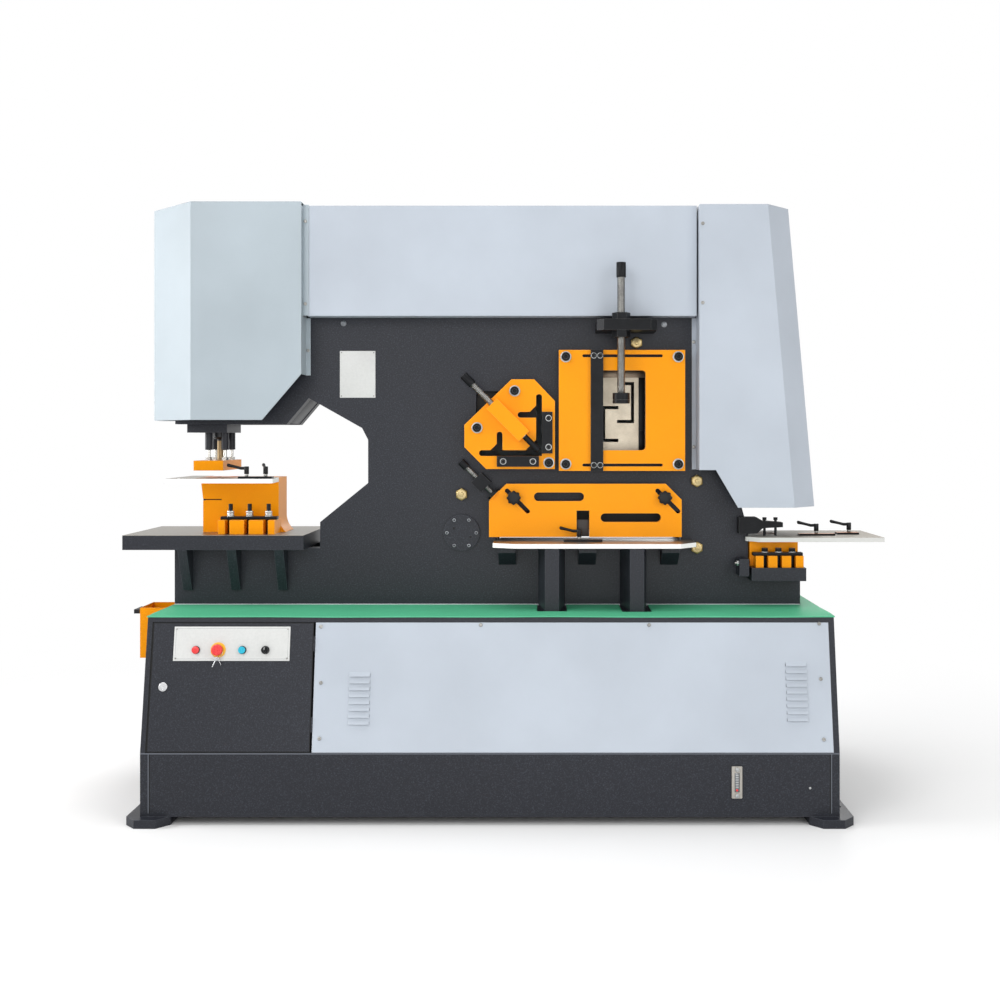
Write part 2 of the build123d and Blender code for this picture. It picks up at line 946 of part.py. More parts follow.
# Side plates: two heavy flame-cut plates with the punching throat and a window at each cutting station
for plate_name, back, drop in (
    ("front_plate", -plate_half_gap, 0),
    ("rear_plate", plate_front, offcut_drop),
):
    with BuildPart() as side_plate:
        with BuildSketch(facing_front(back)):
            Polygon(
                (-base_half_length, base_top),
                (foot_right, base_top),
                (foot_right, shelf_seat),
                (notch_edge_x, shelf_seat),
                (notch_edge_x, notch_edge_z),
                (nose_x, nose_low),
                (plate_right, nose_high),
                (plate_right, cylinder_seat),
                (plate_top_right, cylinder_seat),
                (plate_top_right, plate_top),
                (column_left, plate_top),
                (column_left, head_high),
                (head_left, head_high),
                (head_left, head_low),
                (head_right, head_low),
                (throat_roof_x, throat_roof_z),
                (throat_bend_x, throat_bend_z),
                (throat_back_x, throat_back_high),
                (throat_back_x, throat_back_low),
                (throat_floor_x, throat_floor_z),
                (throat_floor_x, bed_seat),
                (-base_half_length, bed_seat),
                align=None,
            )
            with Locations((
                (angle_window_left + angle_window_right) / 2,
                (angle_window_low + angle_window_high) / 2,
            )):
                RectangleRounded(
                    angle_window_right - angle_window_left,
                    angle_window_high - angle_window_low,
                    window_radius,
                    mode=Mode.SUBTRACT,
                )
            with Locations((
                (section_window_left + section_window_right) / 2,
                (section_window_low + section_window_high) / 2,
            )):
                RectangleRounded(
                    section_window_right - section_window_left,
                    section_window_high - section_window_low,
                    window_radius,
                    mode=Mode.SUBTRACT,
                )
            with Locations((
                (shear_window_left + shear_window_right) / 2,
                (shear_table_top - drop + shear_window_high) / 2,
            )):
                Rectangle(
                    shear_window_right - shear_window_left,
                    shear_window_high - shear_table_top + drop,
                    mode=Mode.SUBTRACT,
                )
            with Locations((pivot_x, pivot_z)):
                Circle(pivot_radius + running_fit, mode=Mode.SUBTRACT)
        extrude(amount=plate_thickness)
    side_plate.part.label = plate_name
    export_step(side_plate.part, f"parts/{plate_name}.step")

# Spacers: the foot, throat and top bars that hold the side plates apart
with BuildPart() as frame_spacers:
    for left, right, low, high in (
        (-base_half_length, foot_right, base_top, foot_spacer_high),
        (throat_spacer_left, throat_spacer_right, foot_spacer_high, throat_spacer_high),
        (top_spacer_left, top_spacer_right, top_spacer_low, plate_top),
    ):
        block(left, right, -plate_half_gap, plate_half_gap, low, high)
frame_spacers.part.label = "frame_spacers"
export_step(frame_spacers.part, "parts/frame_spacers.step")

# Swing beam: a thick plate on the pivot pin, recessed at the front for its blades
with BuildPart() as swing_beam:
    with BuildSketch(facing_front(beam_half_thickness)):
        Polygon(
            (pivot_x - pivot_boss_radius, pivot_z),
            (pivot_x, pivot_z - pivot_boss_radius * half_turn_share),
            (blade_left, blade_left_low + beam_backing),
            (blade_right, blade_right_low + beam_backing),
            (guide_right_x, beam_nose_low - blade_height),
            (beam_right, beam_nose_low),
            (beam_right, beam_right_high),
            (beam_right - beam_pad_z + beam_right_high, beam_pad_z),
            (beam_pad_left, beam_pad_z),
            (beam_crest_x, beam_crest_z),
            (beam_shoulder_x, beam_shoulder_z),
            (pivot_x - pivot_boss_radius, beam_back_z),
            align=None,
        )
        with Locations((pivot_x, pivot_z)):
            Circle(pivot_boss_radius)
            Circle(pivot_radius + running_fit, mode=Mode.SUBTRACT)
    extrude(amount=2 * beam_half_thickness)
    for left, right, low, high in (
        (angle_window_left, angle_window_right, angle_window_low, angle_window_high),
        (section_window_left, section_window_right, section_window_low, section_window_high),
    ):
        block(
            left - blade_overlap, right + blade_overlap,
            -beam_half_thickness, -beam_half_thickness + blade_thickness,
            low - blade_overlap, high + blade_overlap, Mode.SUBTRACT,
        )
        block(left, right, -beam_half_thickness, beam_half_thickness, low, high, Mode.SUBTRACT)
    with BuildSketch(facing_front(-beam_half_thickness + blade_thickness)):
        Polygon(
            (blade_left, blade_left_low),
            (blade_right, blade_right_low),
            (blade_right, blade_right_low + blade_height),
            (blade_left, blade_left_low + blade_height),
            align=None,
        )
    extrude(amount=blade_thickness, mode=Mode.SUBTRACT)
swing_beam.part.label = "swing_beam"
export_step(swing_beam.part, "parts/swing_beam.step")


def channel_cut(left, right, low, high, opens_right):
    """A channel-shaped opening in the blade sketch that is being drawn."""
    web_x = left + channel_slot / 2 if opens_right else right - channel_slot / 2
    with Locations((web_x, (low + high) / 2)):
        Rectangle(channel_slot, high - low, mode=Mode.SUBTRACT)
    for flange_z in (low + channel_slot / 2, high - channel_slot / 2):
        with Locations(((left + right) / 2, flange_z)):
            Rectangle(right - left, channel_slot, mode=Mode.SUBTRACT)


def angle_cut():
    """An L-shaped opening in the blade sketch that is being drawn."""
    with Locations((angle_slot_x - angle_slot_width / 2, (angle_slot_z + angle_slot_top) / 2)):
        Rectangle(angle_slot_width, angle_slot_top - angle_slot_z, mode=Mode.SUBTRACT)
    with Locations(((angle_slot_left + angle_slot_x) / 2, angle_slot_z + angle_slot_width / 2)):
        Rectangle(angle_slot_x - angle_slot_left, angle_slot_width, mode=Mode.SUBTRACT)


# Blades: ground steel plates with the outline of the stock, fixed in the frame and carried by the beam
with BuildPart() as fixed_blades:
    blade_back = -beam_half_thickness - blade_gap
    fixed_thickness = plate_half_gap - beam_half_thickness - blade_gap
    with BuildSketch(facing_front(blade_back)):
        with Locations((
            (angle_window_left + angle_window_right) / 2,
            (angle_window_low + angle_window_high) / 2,
        )):
            Rectangle(
                angle_window_right - angle_window_left + 2 * blade_overlap,
                angle_window_high - angle_window_low + 2 * blade_overlap,
            )
        with Locations((
            (section_window_left + section_window_right) / 2,
            (section_window_low + section_window_high) / 2,
        )):
            Rectangle(
                section_window_right - section_window_left + 2 * blade_overlap,
                section_window_high - section_window_low + 2 * blade_overlap,
            )
        with Locations(((blade_left + blade_right) / 2, shear_table_top - fixed_blade_height / 2)):
            Rectangle(blade_right - blade_left, fixed_blade_height)
        angle_cut()
        channel_cut(upper_channel_left, upper_channel_right, upper_channel_low, upper_channel_high, False)
        channel_cut(lower_channel_left, lower_channel_right, lower_channel_low, lower_channel_high, True)
    extrude(amount=fixed_thickness)
fixed_blades.part.label = "fixed_blades"
export_step(fixed_blades.part, "parts/fixed_blades.step")

with BuildPart() as beam_blades:
    with BuildSketch(facing_front(-beam_half_thickness + blade_thickness)):
        with Locations((
            (angle_window_left + angle_window_right) / 2,
            (angle_window_low + angle_window_high) / 2,
        )):
            Rectangle(
                angle_window_right - angle_window_left + 2 * blade_overlap,
                angle_window_high - angle_window_low + 2 * blade_overlap,
            )
        with Locations((
            (section_window_left + section_window_right) / 2,
            (section_window_low + section_window_high) / 2,
        )):
            Rectangle(
                section_window_right - section_window_left + 2 * blade_overlap,
                section_window_high - section_window_low + 2 * blade_overlap,
            )
        Polygon(
            (blade_left, blade_left_low),
            (blade_right, blade_right_low),
            (blade_right, blade_right_low + blade_height),
            (blade_left, blade_left_low + blade_height),
            align=None,
        )
        angle_cut()
        channel_cut(upper_channel_left, upper_channel_right, upper_channel_low, upper_channel_high, False)
        channel_cut(lower_channel_left, lower_channel_right, lower_channel_low, lower_channel_high, True)
    extrude(amount=blade_thickness)
beam_blades.part.label = "beam_blades"
export_step(beam_blades.part, "parts/beam_blades.step")

# Pivot pin: a ground pin through both plates with a screwed cap at each end
with BuildPart() as pivot_pin:
    with BuildSketch(facing_front(plate_front)):
        with Locations((pivot_x, pivot_z)):
            Circle(pivot_radius)
    extrude(amount=2 * plate_front)
    for face_y, reach in ((-plate_front, pivot_cap_thickness), (plate_front, -pivot_cap_thickness)):
        with BuildSketch(facing_front(face_y)):
            with Locations((pivot_x, pivot_z)):
                Circle(pivot_cap_radius)
        extrude(amount=reach)
    with BuildSketch(facing_front(-plate_front - pivot_cap_thickness)):
        with Locations((pivot_x, pivot_z)):
            with PolarLocations(pivot_screw_circle, pivot_screw_count):
                Circle(pivot_screw_radius)
    extrude(amount=pivot_screw_head)
pivot_pin.part.label = "pivot_pin"
export_step(pivot_pin.part, "parts/pivot_pin.step")

# Guide adjusters: set screws with lock nuts that press the beam guides
guide_places = (
    (pivot_x, guide_low_left_z),
    (guide_right_x, guide_right_z),
    (guide_right_x, guide_low_right_z),
    (guide_top_x, guide_top_z),
)
with BuildPart() as guide_adjusters:
    with BuildSketch(facing_front(-plate_front)):
        with Locations(*guide_places):
            RegularPolygon(guide_nut_radius, 6)
    extrude(amount=guide_nut_height)
    with BuildSketch(facing_front(-plate_front - guide_nut_height)):
        with Locations(*guide_places):
            Circle(guide_screw_radius)
    extrude(amount=guide_screw_height)
guide_adjusters.part.label = "guide_adjusters"
export_step(guide_adjusters.part, "parts/guide_adjusters.step")

# Hydraulic drive: the punch cylinder with its flange and columns, the shear cylinder, and the foot-mounted motor
# with its cooling ribs, bell housing and pump
motor_z = plinth_top + base_wall + motor_foot_height + motor_radius
motor_start = Plane(origin=(motor_x, 0, motor_z), x_dir=(0, 1, 0), z_dir=(1, 0, 0))
column_places = [(punch_x + sx * column_dx, sy * column_dy) for sx in (-1, 1) for sy in (-1, 1)]
with BuildPart() as hydraulic_drive:
    upright(punch_x, 0, head_high, punch_barrel_high, barrel_radius)
    upright(punch_x, 0, head_low, head_high, neck_radius)
    block(
        punch_x - flange_left_reach, punch_x + flange_right_reach, -flange_half_depth, flange_half_depth,
        flange_low, head_low,
    )
    for x, y in column_places:
        upright(x, y, column_low, flange_low, column_radius)
    upright(punch_x, 0, flange_low, ram_top + loose_fit, ram_radius + running_fit, Mode.SUBTRACT)
    upright(shear_x, 0, cylinder_seat, shear_barrel_high, barrel_radius)
    upright(shear_x, 0, shear_neck_low, cylinder_seat, neck_radius)
    upright(
        shear_x, 0, shear_neck_low, shear_rod_top + loose_fit,
        shear_rod_radius + running_fit, Mode.SUBTRACT,
    )
    with BuildSketch(motor_start):
        Circle(motor_radius - motor_rib_height)
        with PolarLocations(motor_radius - motor_rib_height, motor_rib_count):
            Rectangle(2 * motor_rib_height, motor_rib_width)
    extrude(amount=motor_length)
    with BuildSketch(motor_start):
        Circle(pump_bell_radius)
    extrude(amount=-pump_bell_length)
    with BuildSketch(motor_start.offset(-pump_bell_length)):
        Circle(pump_radius)
    extrude(amount=-pump_length)
    block(
        motor_x, motor_x + motor_length, -motor_radius, motor_radius,
        plinth_top + base_wall, plinth_top + base_wall + motor_foot_height,
    )
    block(
        motor_x, motor_x + motor_length, -motor_radius / 2, motor_radius / 2,
        plinth_top + base_wall, motor_z,
    )
hydraulic_drive.part.label = "hydraulic_drive"
export_step(hydraulic_drive.part, "parts/hydraulic_drive.step")

# Punch ram: the piston rod with its punch holder and the punch
with BuildPart() as punch_ram:
    upright(punch_x, 0, flange_low, ram_top, ram_radius)
    upright(punch_x, 0, holder_low, flange_low, holder_radius)
    chamfer(punch_ram.faces().sort_by(Axis.Z)[0].edges(), holder_radius / 4)
    upright(punch_x, 0, punch_tip, holder_low, punch_radius)
punch_ram.part.label = "punch_ram"
export_step(punch_ram.part, "parts/punch_ram.step")

# Shear rod: the piston rod with a crowned end that presses the beam
rod_low = beam_pad_z + rod_end_gap
crown_drop = rod_crown_radius - (rod_crown_radius**2 - shear_rod_radius**2) ** 0.5
with BuildPart() as shear_rod:
    with BuildSketch(Plane.XZ):
        with BuildLine():
            Polyline(
                (shear_x, rod_low),
                (shear_x, shear_rod_top),
                (shear_x + shear_rod_radius, shear_rod_top),
                (shear_x + shear_rod_radius, rod_low + crown_drop),
            )
            TangentArc(
                (shear_x, rod_low),
                (shear_x + shear_rod_radius, rod_low + crown_drop),
                tangent=(1, 0),
            )
        make_face()
    revolve(axis=Axis((shear_x, 0, 0), (0, 0, 1)))
shear_rod.part.label = "shear_rod"
export_step(shear_rod.part, "parts/shear_rod.step")

# Left hood: folded sheet round the punch cylinder, open below and towards the beam cover
with BuildPart() as left_hood:
    with BuildSketch(Plane.XY.offset(left_hood_low)):
        Polygon(
            (left_hood_end, -hood_nose_half_depth),
            (left_hood_bevel, -hood_half_depth),
            (left_hood_right, -hood_half_depth),
            (left_hood_right, hood_half_depth),
            (left_hood_bevel, hood_half_depth),
            (left_hood_end, hood_nose_half_depth),
            align=None,
        )
    extrude(amount=left_hood_high - left_hood_low)
    with BuildSketch(Plane.XY.offset(left_hood_low - overrun)):
        Polygon(
            (left_hood_end + sheet, -hood_nose_half_depth),
            (left_hood_bevel, -hood_half_depth + sheet),
            (left_hood_right + overrun, -hood_half_depth + sheet),
            (left_hood_right + overrun, hood_half_depth - sheet),
            (left_hood_bevel, hood_half_depth - sheet),
            (left_hood_end + sheet, hood_nose_half_depth),
            align=None,
        )
    extrude(amount=left_hood_high - left_hood_low + overrun - sheet, mode=Mode.SUBTRACT)
    for side in (-1, 1):
        block(
            left_hood_right - sheet, left_hood_right,
            min(side * hood_half_depth, side * plate_front),
            max(side * hood_half_depth, side * plate_front),
            left_hood_cut_z, cover_high - sheet,
        )
        block(
            left_hood_right - sheet, left_hood_right + flange_strip,
            min(side * plate_front, side * (plate_front + sheet)),
            max(side * plate_front, side * (plate_front + sheet)),
            left_hood_cut_z, cover_low - sheet,
        )
    with BuildSketch(facing_front(hood_half_depth + overrun)):
        Polygon(
            (left_hood_cut_x, left_hood_low - overrun),
            (left_hood_right + overrun + flange_strip, left_hood_low - overrun),
            (left_hood_right + overrun + flange_strip, left_hood_cut_z),
            (left_hood_right, left_hood_cut_z),
            (left_hood_cut_x, left_hood_low),
            align=None,
        )
    extrude(amount=2 * (hood_half_depth + overrun), mode=Mode.SUBTRACT)
left_hood.part.label = "left_hood"
export_step(left_hood.part, "parts/left_hood.step")

# Beam cover: a sheet folded over the top of both side plates, with a long skirt behind that guards the outfeed
with BuildPart() as beam_cover:
    block(cover_left, cover_right, -cover_half_depth, cover_half_depth, cover_low, cover_high)
    block(
        cover_left - overrun, cover_right + overrun, -cover_half_depth + sheet, cover_half_depth - sheet,
        cover_low - overrun, cover_high - sheet, Mode.SUBTRACT,
    )
    for side in (-1, 1):
        inner = side * plate_front
        outer = side * cover_half_depth
        block(cover_left, cover_right, min(inner, outer), max(inner, outer), cover_low, cover_low + sheet)
    guard_right = right_hood_left - flange_strip - panel_gap
    block(guard_left, guard_right, cover_half_depth - sheet, cover_half_depth, guard_low, cover_low + sheet)
    for left in (guard_left, guard_right - sheet):
        block(left, left + sheet, plate_front, cover_half_depth, guard_low, cover_low)
beam_cover.part.label = "beam_cover"
export_step(beam_cover.part, "parts/beam_cover.step")

# Right hood: tapered folded sheet round the shear cylinder, open below and towards the beam cover
def right_hood_plan(skin, bevel, end):
    """The plan of the right hood, drawn inwards by the sheet when its inside is cut."""
    return Polygon(
        (right_hood_left - overrun * (skin > 0), -hood_half_depth + skin),
        (bevel, -hood_half_depth + skin),
        (end - skin, -right_hood_side_half),
        (end - skin, right_hood_side_half),
        (bevel, hood_half_depth - skin),
        (right_hood_left - overrun * (skin > 0), hood_half_depth - skin),
        align=None,
    )


with BuildPart() as right_hood:
    with BuildSketch(Plane.XY.offset(right_hood_low)):
        right_hood_plan(0, right_hood_low_bevel, right_hood_low_end)
    with BuildSketch(Plane.XY.offset(right_hood_high)):
        right_hood_plan(0, right_hood_top_bevel, right_hood_top_end)
    loft(ruled=True)
    with BuildSketch(Plane.XY.offset(right_hood_low)):
        right_hood_plan(sheet, right_hood_low_bevel, right_hood_low_end)
    with BuildSketch(Plane.XY.offset(right_hood_high - sheet)):
        right_hood_plan(sheet, right_hood_top_bevel, right_hood_top_end)
    loft(ruled=True, mode=Mode.SUBTRACT)
    for side in (-1, 1):
        block(
            right_hood_left, right_hood_left + sheet,
            min(side * hood_half_depth, side * plate_front),
            max(side * hood_half_depth, side * plate_front),
            right_hood_cut_z, right_hood_high - sheet,
        )
        block(
            right_hood_left - flange_strip, right_hood_left + sheet,
            min(side * plate_front, side * (plate_front + sheet)),
            max(side * plate_front, side * (plate_front + sheet)),
            right_hood_cut_z, cover_low - sheet,
        )
    with BuildSketch(facing_front(hood_half_depth + overrun)):
        Polygon(
            (right_hood_left - overrun - flange_strip, right_hood_low - overrun),
            (right_hood_cut_low_x, right_hood_low - overrun),
            (right_hood_cut_low_x, right_hood_low),
            (right_hood_cut_x, right_hood_cut_z),
            (right_hood_left - overrun - flange_strip, right_hood_cut_z),
            align=None,
        )
    extrude(amount=2 * (hood_half_depth + overrun), mode=Mode.SUBTRACT)
right_hood.part.label = "right_hood"
export_step(right_hood.part, "parts/right_hood.step")

# Punch bed: a thick plate welded on the frame with three gussets on each side
with BuildPart() as punch_bed:
    block(bed_left, bed_right, -bed_half_depth, bed_half_depth, bed_seat, bed_high)
    upright(punch_x, 0, bed_seat, bed_high, bed_slug_radius, Mode.SUBTRACT)
    for x in (gusset_left_x, gusset_middle_x, gusset_right_x):
        for side in (-1, 1):
            with BuildSketch(Plane.YZ.offset(x - gusset_thickness / 2)):
                Polygon(
                    (side * plate_front, gusset_low),
                    (side * (plate_front + gusset_toe), gusset_low),
                    (side * bed_half_depth, bed_seat),
                    (side * plate_front, bed_seat),
                    align=None,
                )
            extrude(amount=gusset_thickness)
punch_bed.part.label = "punch_bed"
export_step(punch_bed.part, "parts/punch_bed.step")

# Die bolster: a casting with a grooved left end, a flared right end and a slotted foot, and the die in it
bolster_studs = [(foot_left + foot_right_x) / 2 + step * clamp_stud_pitch for step in (-1, 0, 1)]
stud_y = -(foot_front + bolster_half_depth) / 2
with BuildPart() as die_bolster:
    with BuildSketch(facing_front(bolster_half_depth)):
        with BuildLine():
            Polyline(
                (bolster_right + bolster_flare, bed_high),
                (bolster_left, bed_high),
                (bolster_left, bolster_groove_z - bolster_groove_height),
                (bolster_left + bolster_groove_depth, bolster_groove_z - bolster_groove_height),
                (bolster_left + bolster_groove_depth, bolster_groove_z),
                (bolster_left, bolster_groove_z),
                (bolster_left - bolster_overhang, bolster_high),
                (bolster_right, bolster_high),
                (bolster_right, bed_high + bolster_flare_height),
            )
            TangentArc(
                (bolster_right, bed_high + bolster_flare_height),
                (bolster_right + bolster_flare, bed_high),
                tangent=(0, -1),
            )
        make_face()
    extrude(amount=2 * bolster_half_depth)
    block(foot_left, foot_right_x, -foot_front, -bolster_half_depth, bed_high, foot_high)
    for x in bolster_studs:
        block(
            x - foot_slot_width / 2, x + foot_slot_width / 2,
            -foot_front, -bolster_half_depth, bed_high, foot_high, Mode.SUBTRACT,
        )
    upright(punch_x, 0, bed_high, bolster_high, die_radius, Mode.SUBTRACT)
    upright(punch_x, 0, bolster_high - die_radius, bolster_high, die_radius)
    upright(punch_x, 0, bolster_high - die_radius, bolster_high, die_bore, Mode.SUBTRACT)
die_bolster.part.label = "die_bolster"
export_step(die_bolster.part, "parts/die_bolster.step")

# Clamps: a bar on each slotted foot with its studs, nuts and bolts
notch_bolts = [(notch_foot_left + notch_foot_right) / 2 + step * notch_bolt_pitch for step in (-1, 0, 1)]
notch_foot_high = shelf_high + notch_foot_height
notch_bolt_y = -(notch_foot_front + notch_block_half_depth) / 2
with BuildPart() as foot_clamps:
    block(
        foot_left, foot_right_x, stud_y - clamp_bar_depth / 2, stud_y + clamp_bar_depth / 2,
        foot_high, foot_high + clamp_bar_height,
    )
    for x in bolster_studs:
        upright(x, stud_y, bed_high, clamp_stud_high, clamp_stud_radius)
        with BuildSketch(Plane.XY.offset(foot_high + clamp_bar_height)):
            with Locations((x, stud_y)):
                RegularPolygon(clamp_nut_radius, 6)
        extrude(amount=clamp_nut_height)
    block(
        notch_foot_left - notch_bar_inset, notch_foot_right,
        notch_bolt_y - clamp_bar_depth / 2, notch_bolt_y + clamp_bar_depth / 2,
        notch_foot_high, notch_foot_high + clamp_bar_height,
    )
    for x in notch_bolts:
        upright(x, notch_bolt_y, shelf_high, notch_foot_high, clamp_stud_radius)
        with BuildSketch(Plane.XY.offset(notch_foot_high + clamp_bar_height)):
            with Locations((x, notch_bolt_y)):
                RegularPolygon(notch_bolt_radius, 6)
        extrude(amount=notch_bolt_height)
foot_clamps.part.label = "foot_clamps"
export_step(foot_clamps.part, "parts/foot_clamps.step")

# Punch table: a plate level with the top of the bolster, fixed to its front and reaching round its left end
with BuildPart() as punch_table:
    with BuildSketch(Plane.XY.offset(bolster_high - table_thickness)):
        Polygon(
            (punch_table_left, -punch_table_front),
            (punch_table_right, -punch_table_front),
            (bolster_right, -bolster_half_depth),
            (bolster_left - bolster_overhang - panel_gap, -bolster_half_depth),
            (bolster_left - bolster_overhang - panel_gap, punch_table_back),
            (punch_table_left, punch_table_back),
            align=None,
        )
    extrude(amount=table_thickness)
punch_table.part.label = "punch_table"
export_step(punch_table.part, "parts/punch_table.step")

# Stripper: a long block on four studs under the cylinder flange
with BuildPart() as stripper:
    with BuildSketch(Plane.XY.offset(stripper_low)):
        with Locations(((stripper_left + stripper_right) / 2, 0)):
            Rectangle(stripper_right - stripper_left, 2 * stripper_half_depth)
        with Locations((punch_x, 0)):
            Circle(stripper_bore, mode=Mode.SUBTRACT)
    extrude(amount=stripper_high - stripper_low)
    for x, y in column_places:
        upright(x, y, stripper_high, column_low, stud_radius)
        with BuildSketch(Plane.XY.offset(stripper_high)):
            with Locations((x, y)):
                RegularPolygon(stud_nut_radius, 6)
        extrude(amount=stud_nut_height)
stripper.part.label = "stripper"
export_step(stripper.part, "parts/stripper.step")

# Punch fence: a flat bar clamped on the punch table
with BuildPart() as punch_fence:
    block(
        punch_fence_left, punch_fence_right, -punch_fence_front, -punch_fence_back,
        bolster_high, bolster_high + fence_thickness,
    )
punch_fence.part.label = "punch_fence"
export_step(punch_fence.part, "parts/punch_fence.step")

# Clamp levers: a hub on its screw with a rising arm that ends in a round knob
punch_fence_top = bolster_high + fence_thickness
shear_fence_top = shear_table_top + fence_thickness
notch_slide_top = notch_table_top + fence_thickness
punch_fence_y = -(punch_fence_front + punch_fence_back) / 2
shear_fence_y = -(shear_fence_front + shear_fence_back) / 2
first_slide_y = -(first_slide_front + first_slide_back) / 2
second_slide_y = -(second_slide_front + second_slide_back) / 2
left_turn = 180
back_left_turn = 110
lever_places = {
    "punch_lever_left": (punch_lever_left_x, punch_fence_y, punch_fence_top, left_turn),
    "punch_lever_right": (punch_lever_right_x, punch_fence_y, punch_fence_top, back_left_turn),
    "shear_lever": (shear_lever_x, shear_fence_y, shear_fence_top, left_turn),
    "first_notch_lever": (first_lever_x, first_slide_y, notch_slide_top, left_turn),
    "second_notch_lever": (second_lever_x, second_slide_y, notch_slide_top, left_turn),
}
for lever_name, (lever_x, lever_y, lever_z, lever_turn) in lever_places.items():
    arm_x = cos(radians(lever_turn))
    arm_y = sin(radians(lever_turn))
    arm_root = Plane(
        origin=(lever_x, lever_y, lever_z + lever_hub_height - lever_root_radius),
        x_dir=(-arm_y, arm_x, 0),
        z_dir=(arm_x * lever_arm_length, arm_y * lever_arm_length, lever_arm_rise),
    )
    with BuildPart() as clamp_lever:
        upright(lever_x, lever_y, lever_z, lever_z + lever_hub_height, lever_hub_radius)
        with Locations(arm_root):
            Cone(
                lever_root_radius, lever_tip_radius, lever_arm_length,
                align=(Align.CENTER, Align.CENTER, Align.MIN),
            )
        with Locations(arm_root.offset(lever_arm_length)):
            Cylinder(lever_end_radius, 2 * lever_end_radius)
    clamp_lever.part.label = lever_name
    export_step(clamp_lever.part, f"parts/{lever_name}.step")


def cap_screw(x, z, face_y, radius, height):
    """A socket head cap screw on a face towards the operator, inside the part that is being built."""
    with Locations((x, face_y - height / 2, z)):
        Cylinder(radius, height, rotation=(90, 0, 0))
    with Locations((x, face_y - height, z)):
        Cylinder(radius / 2, height, rotation=(90, 0, 0), mode=Mode.SUBTRACT)


# Angle hold-down: a plate with two L-shaped slots on a common diagonal
with BuildPart() as angle_hold_down:
    with BuildSketch(facing_front(-hold_down_back)):
        Polygon(
            (angle_bottom_left, angle_low),
            (angle_right, angle_low),
            (angle_right, angle_right_high),
            (angle_top_right, angle_top),
            (angle_top_left, angle_top),
            (angle_left, angle_left_high),
            (angle_left, angle_left_low),
            align=None,
        )
        slot_round = angle_slot_width / 2
        slot_inner_x = angle_slot_x - angle_slot_width
        slot_inner_z = angle_slot_z + angle_slot_width
        with Locations((angle_slot_x - slot_round, (angle_slot_z + angle_slot_top - slot_round) / 2)):
            Rectangle(angle_slot_width, angle_slot_top - slot_round - angle_slot_z, mode=Mode.SUBTRACT)
        with Locations(((angle_slot_left + slot_round + angle_slot_x) / 2, angle_slot_z + slot_round)):
            Rectangle(angle_slot_x - angle_slot_left - slot_round, angle_slot_width, mode=Mode.SUBTRACT)
        with Locations(
            (angle_slot_x - slot_round, angle_slot_top - slot_round),
            (angle_slot_left + slot_round, angle_slot_z + slot_round),
            (angle_branch_x, slot_inner_z + angle_branch_length - slot_round),
            (slot_inner_x - angle_branch_length + slot_round, angle_branch_z),
        ):
            Circle(slot_round, mode=Mode.SUBTRACT)
        Polygon(
            (slot_inner_x - angle_inner_corner, slot_inner_z),
            (slot_inner_x, slot_inner_z),
            (slot_inner_x, slot_inner_z + angle_inner_corner),
            align=None,
            mode=Mode.SUBTRACT,
        )
        branch_run = angle_branch_length - slot_round
        with Locations((angle_branch_x, slot_inner_z + branch_run / 2)):
            Rectangle(angle_slot_width, branch_run, mode=Mode.SUBTRACT)
        with Locations((slot_inner_x - branch_run / 2, angle_branch_z)):
            Rectangle(branch_run, angle_slot_width, mode=Mode.SUBTRACT)
        branch_left = angle_branch_x - angle_slot_width / 2
        branch_high = angle_branch_z + angle_slot_width / 2
        Polygon(
            (branch_left - angle_branch_corner, slot_inner_z),
            (branch_left, slot_inner_z),
            (branch_left, slot_inner_z + angle_branch_corner),
            align=None,
            mode=Mode.SUBTRACT,
        )
        Polygon(
            (slot_inner_x - angle_branch_corner, branch_high),
            (slot_inner_x, branch_high),
            (slot_inner_x, branch_high + angle_branch_corner),
            align=None,
            mode=Mode.SUBTRACT,
        )
    extrude(amount=hold_down_thickness)
angle_hold_down.part.label = "angle_hold_down"
export_step(angle_hold_down.part, "parts/angle_hold_down.step")

# Angle screw: a housing on the diagonal, the screw in it and the pad that it pushes
angle_axis = Plane(
    origin=(angle_housing_x, -hold_down_front - angle_screw_height, angle_housing_z),
    x_dir=(0, 1, 0),
    z_dir=(1, 0, -1),
)
angle_face = Plane(
    origin=(angle_housing_x, -hold_down_front, angle_housing_z),
    x_dir=(1, 0, -1),
    z_dir=(0, -1, 0),
)
with BuildPart() as angle_housing:
    with BuildSketch(angle_face):
        Rectangle(angle_housing_length, angle_housing_width)
    extrude(amount=angle_housing_height)
    with BuildSketch(angle_axis.offset(-angle_housing_length)):
        Circle(angle_screw_radius + running_fit)
    extrude(amount=2 * angle_housing_length, mode=Mode.SUBTRACT)
angle_housing.part.label = "angle_housing"
export_step(angle_housing.part, "parts/angle_housing.step")

with BuildPart() as angle_screw:
    with BuildSketch(angle_axis.offset(-angle_screw_back)):
        Circle(angle_grip_radius)
    extrude(amount=angle_grip_length)
    chamfer(angle_screw.edges().filter_by(GeomType.CIRCLE), screw_root_chamfer)
    with BuildSketch(angle_axis.offset(-angle_screw_back + angle_grip_length)):
        Circle(angle_screw_radius)
    extrude(amount=angle_screw_back - angle_grip_length + angle_pad_start)
angle_screw.part.label = "angle_screw"
export_step(angle_screw.part, "parts/angle_screw.step")

with BuildPart() as angle_pad:
    with BuildSketch(angle_axis.offset(angle_pad_start)):
        Circle(angle_pad_radius)
    extrude(amount=angle_pad_end - angle_pad_start)
    chamfer(angle_pad.edges().filter_by(GeomType.CIRCLE).sort_by(Axis.X)[-1], screw_root_chamfer)
angle_pad.part.label = "angle_pad"
export_step(angle_pad.part, "parts/angle_pad.step")

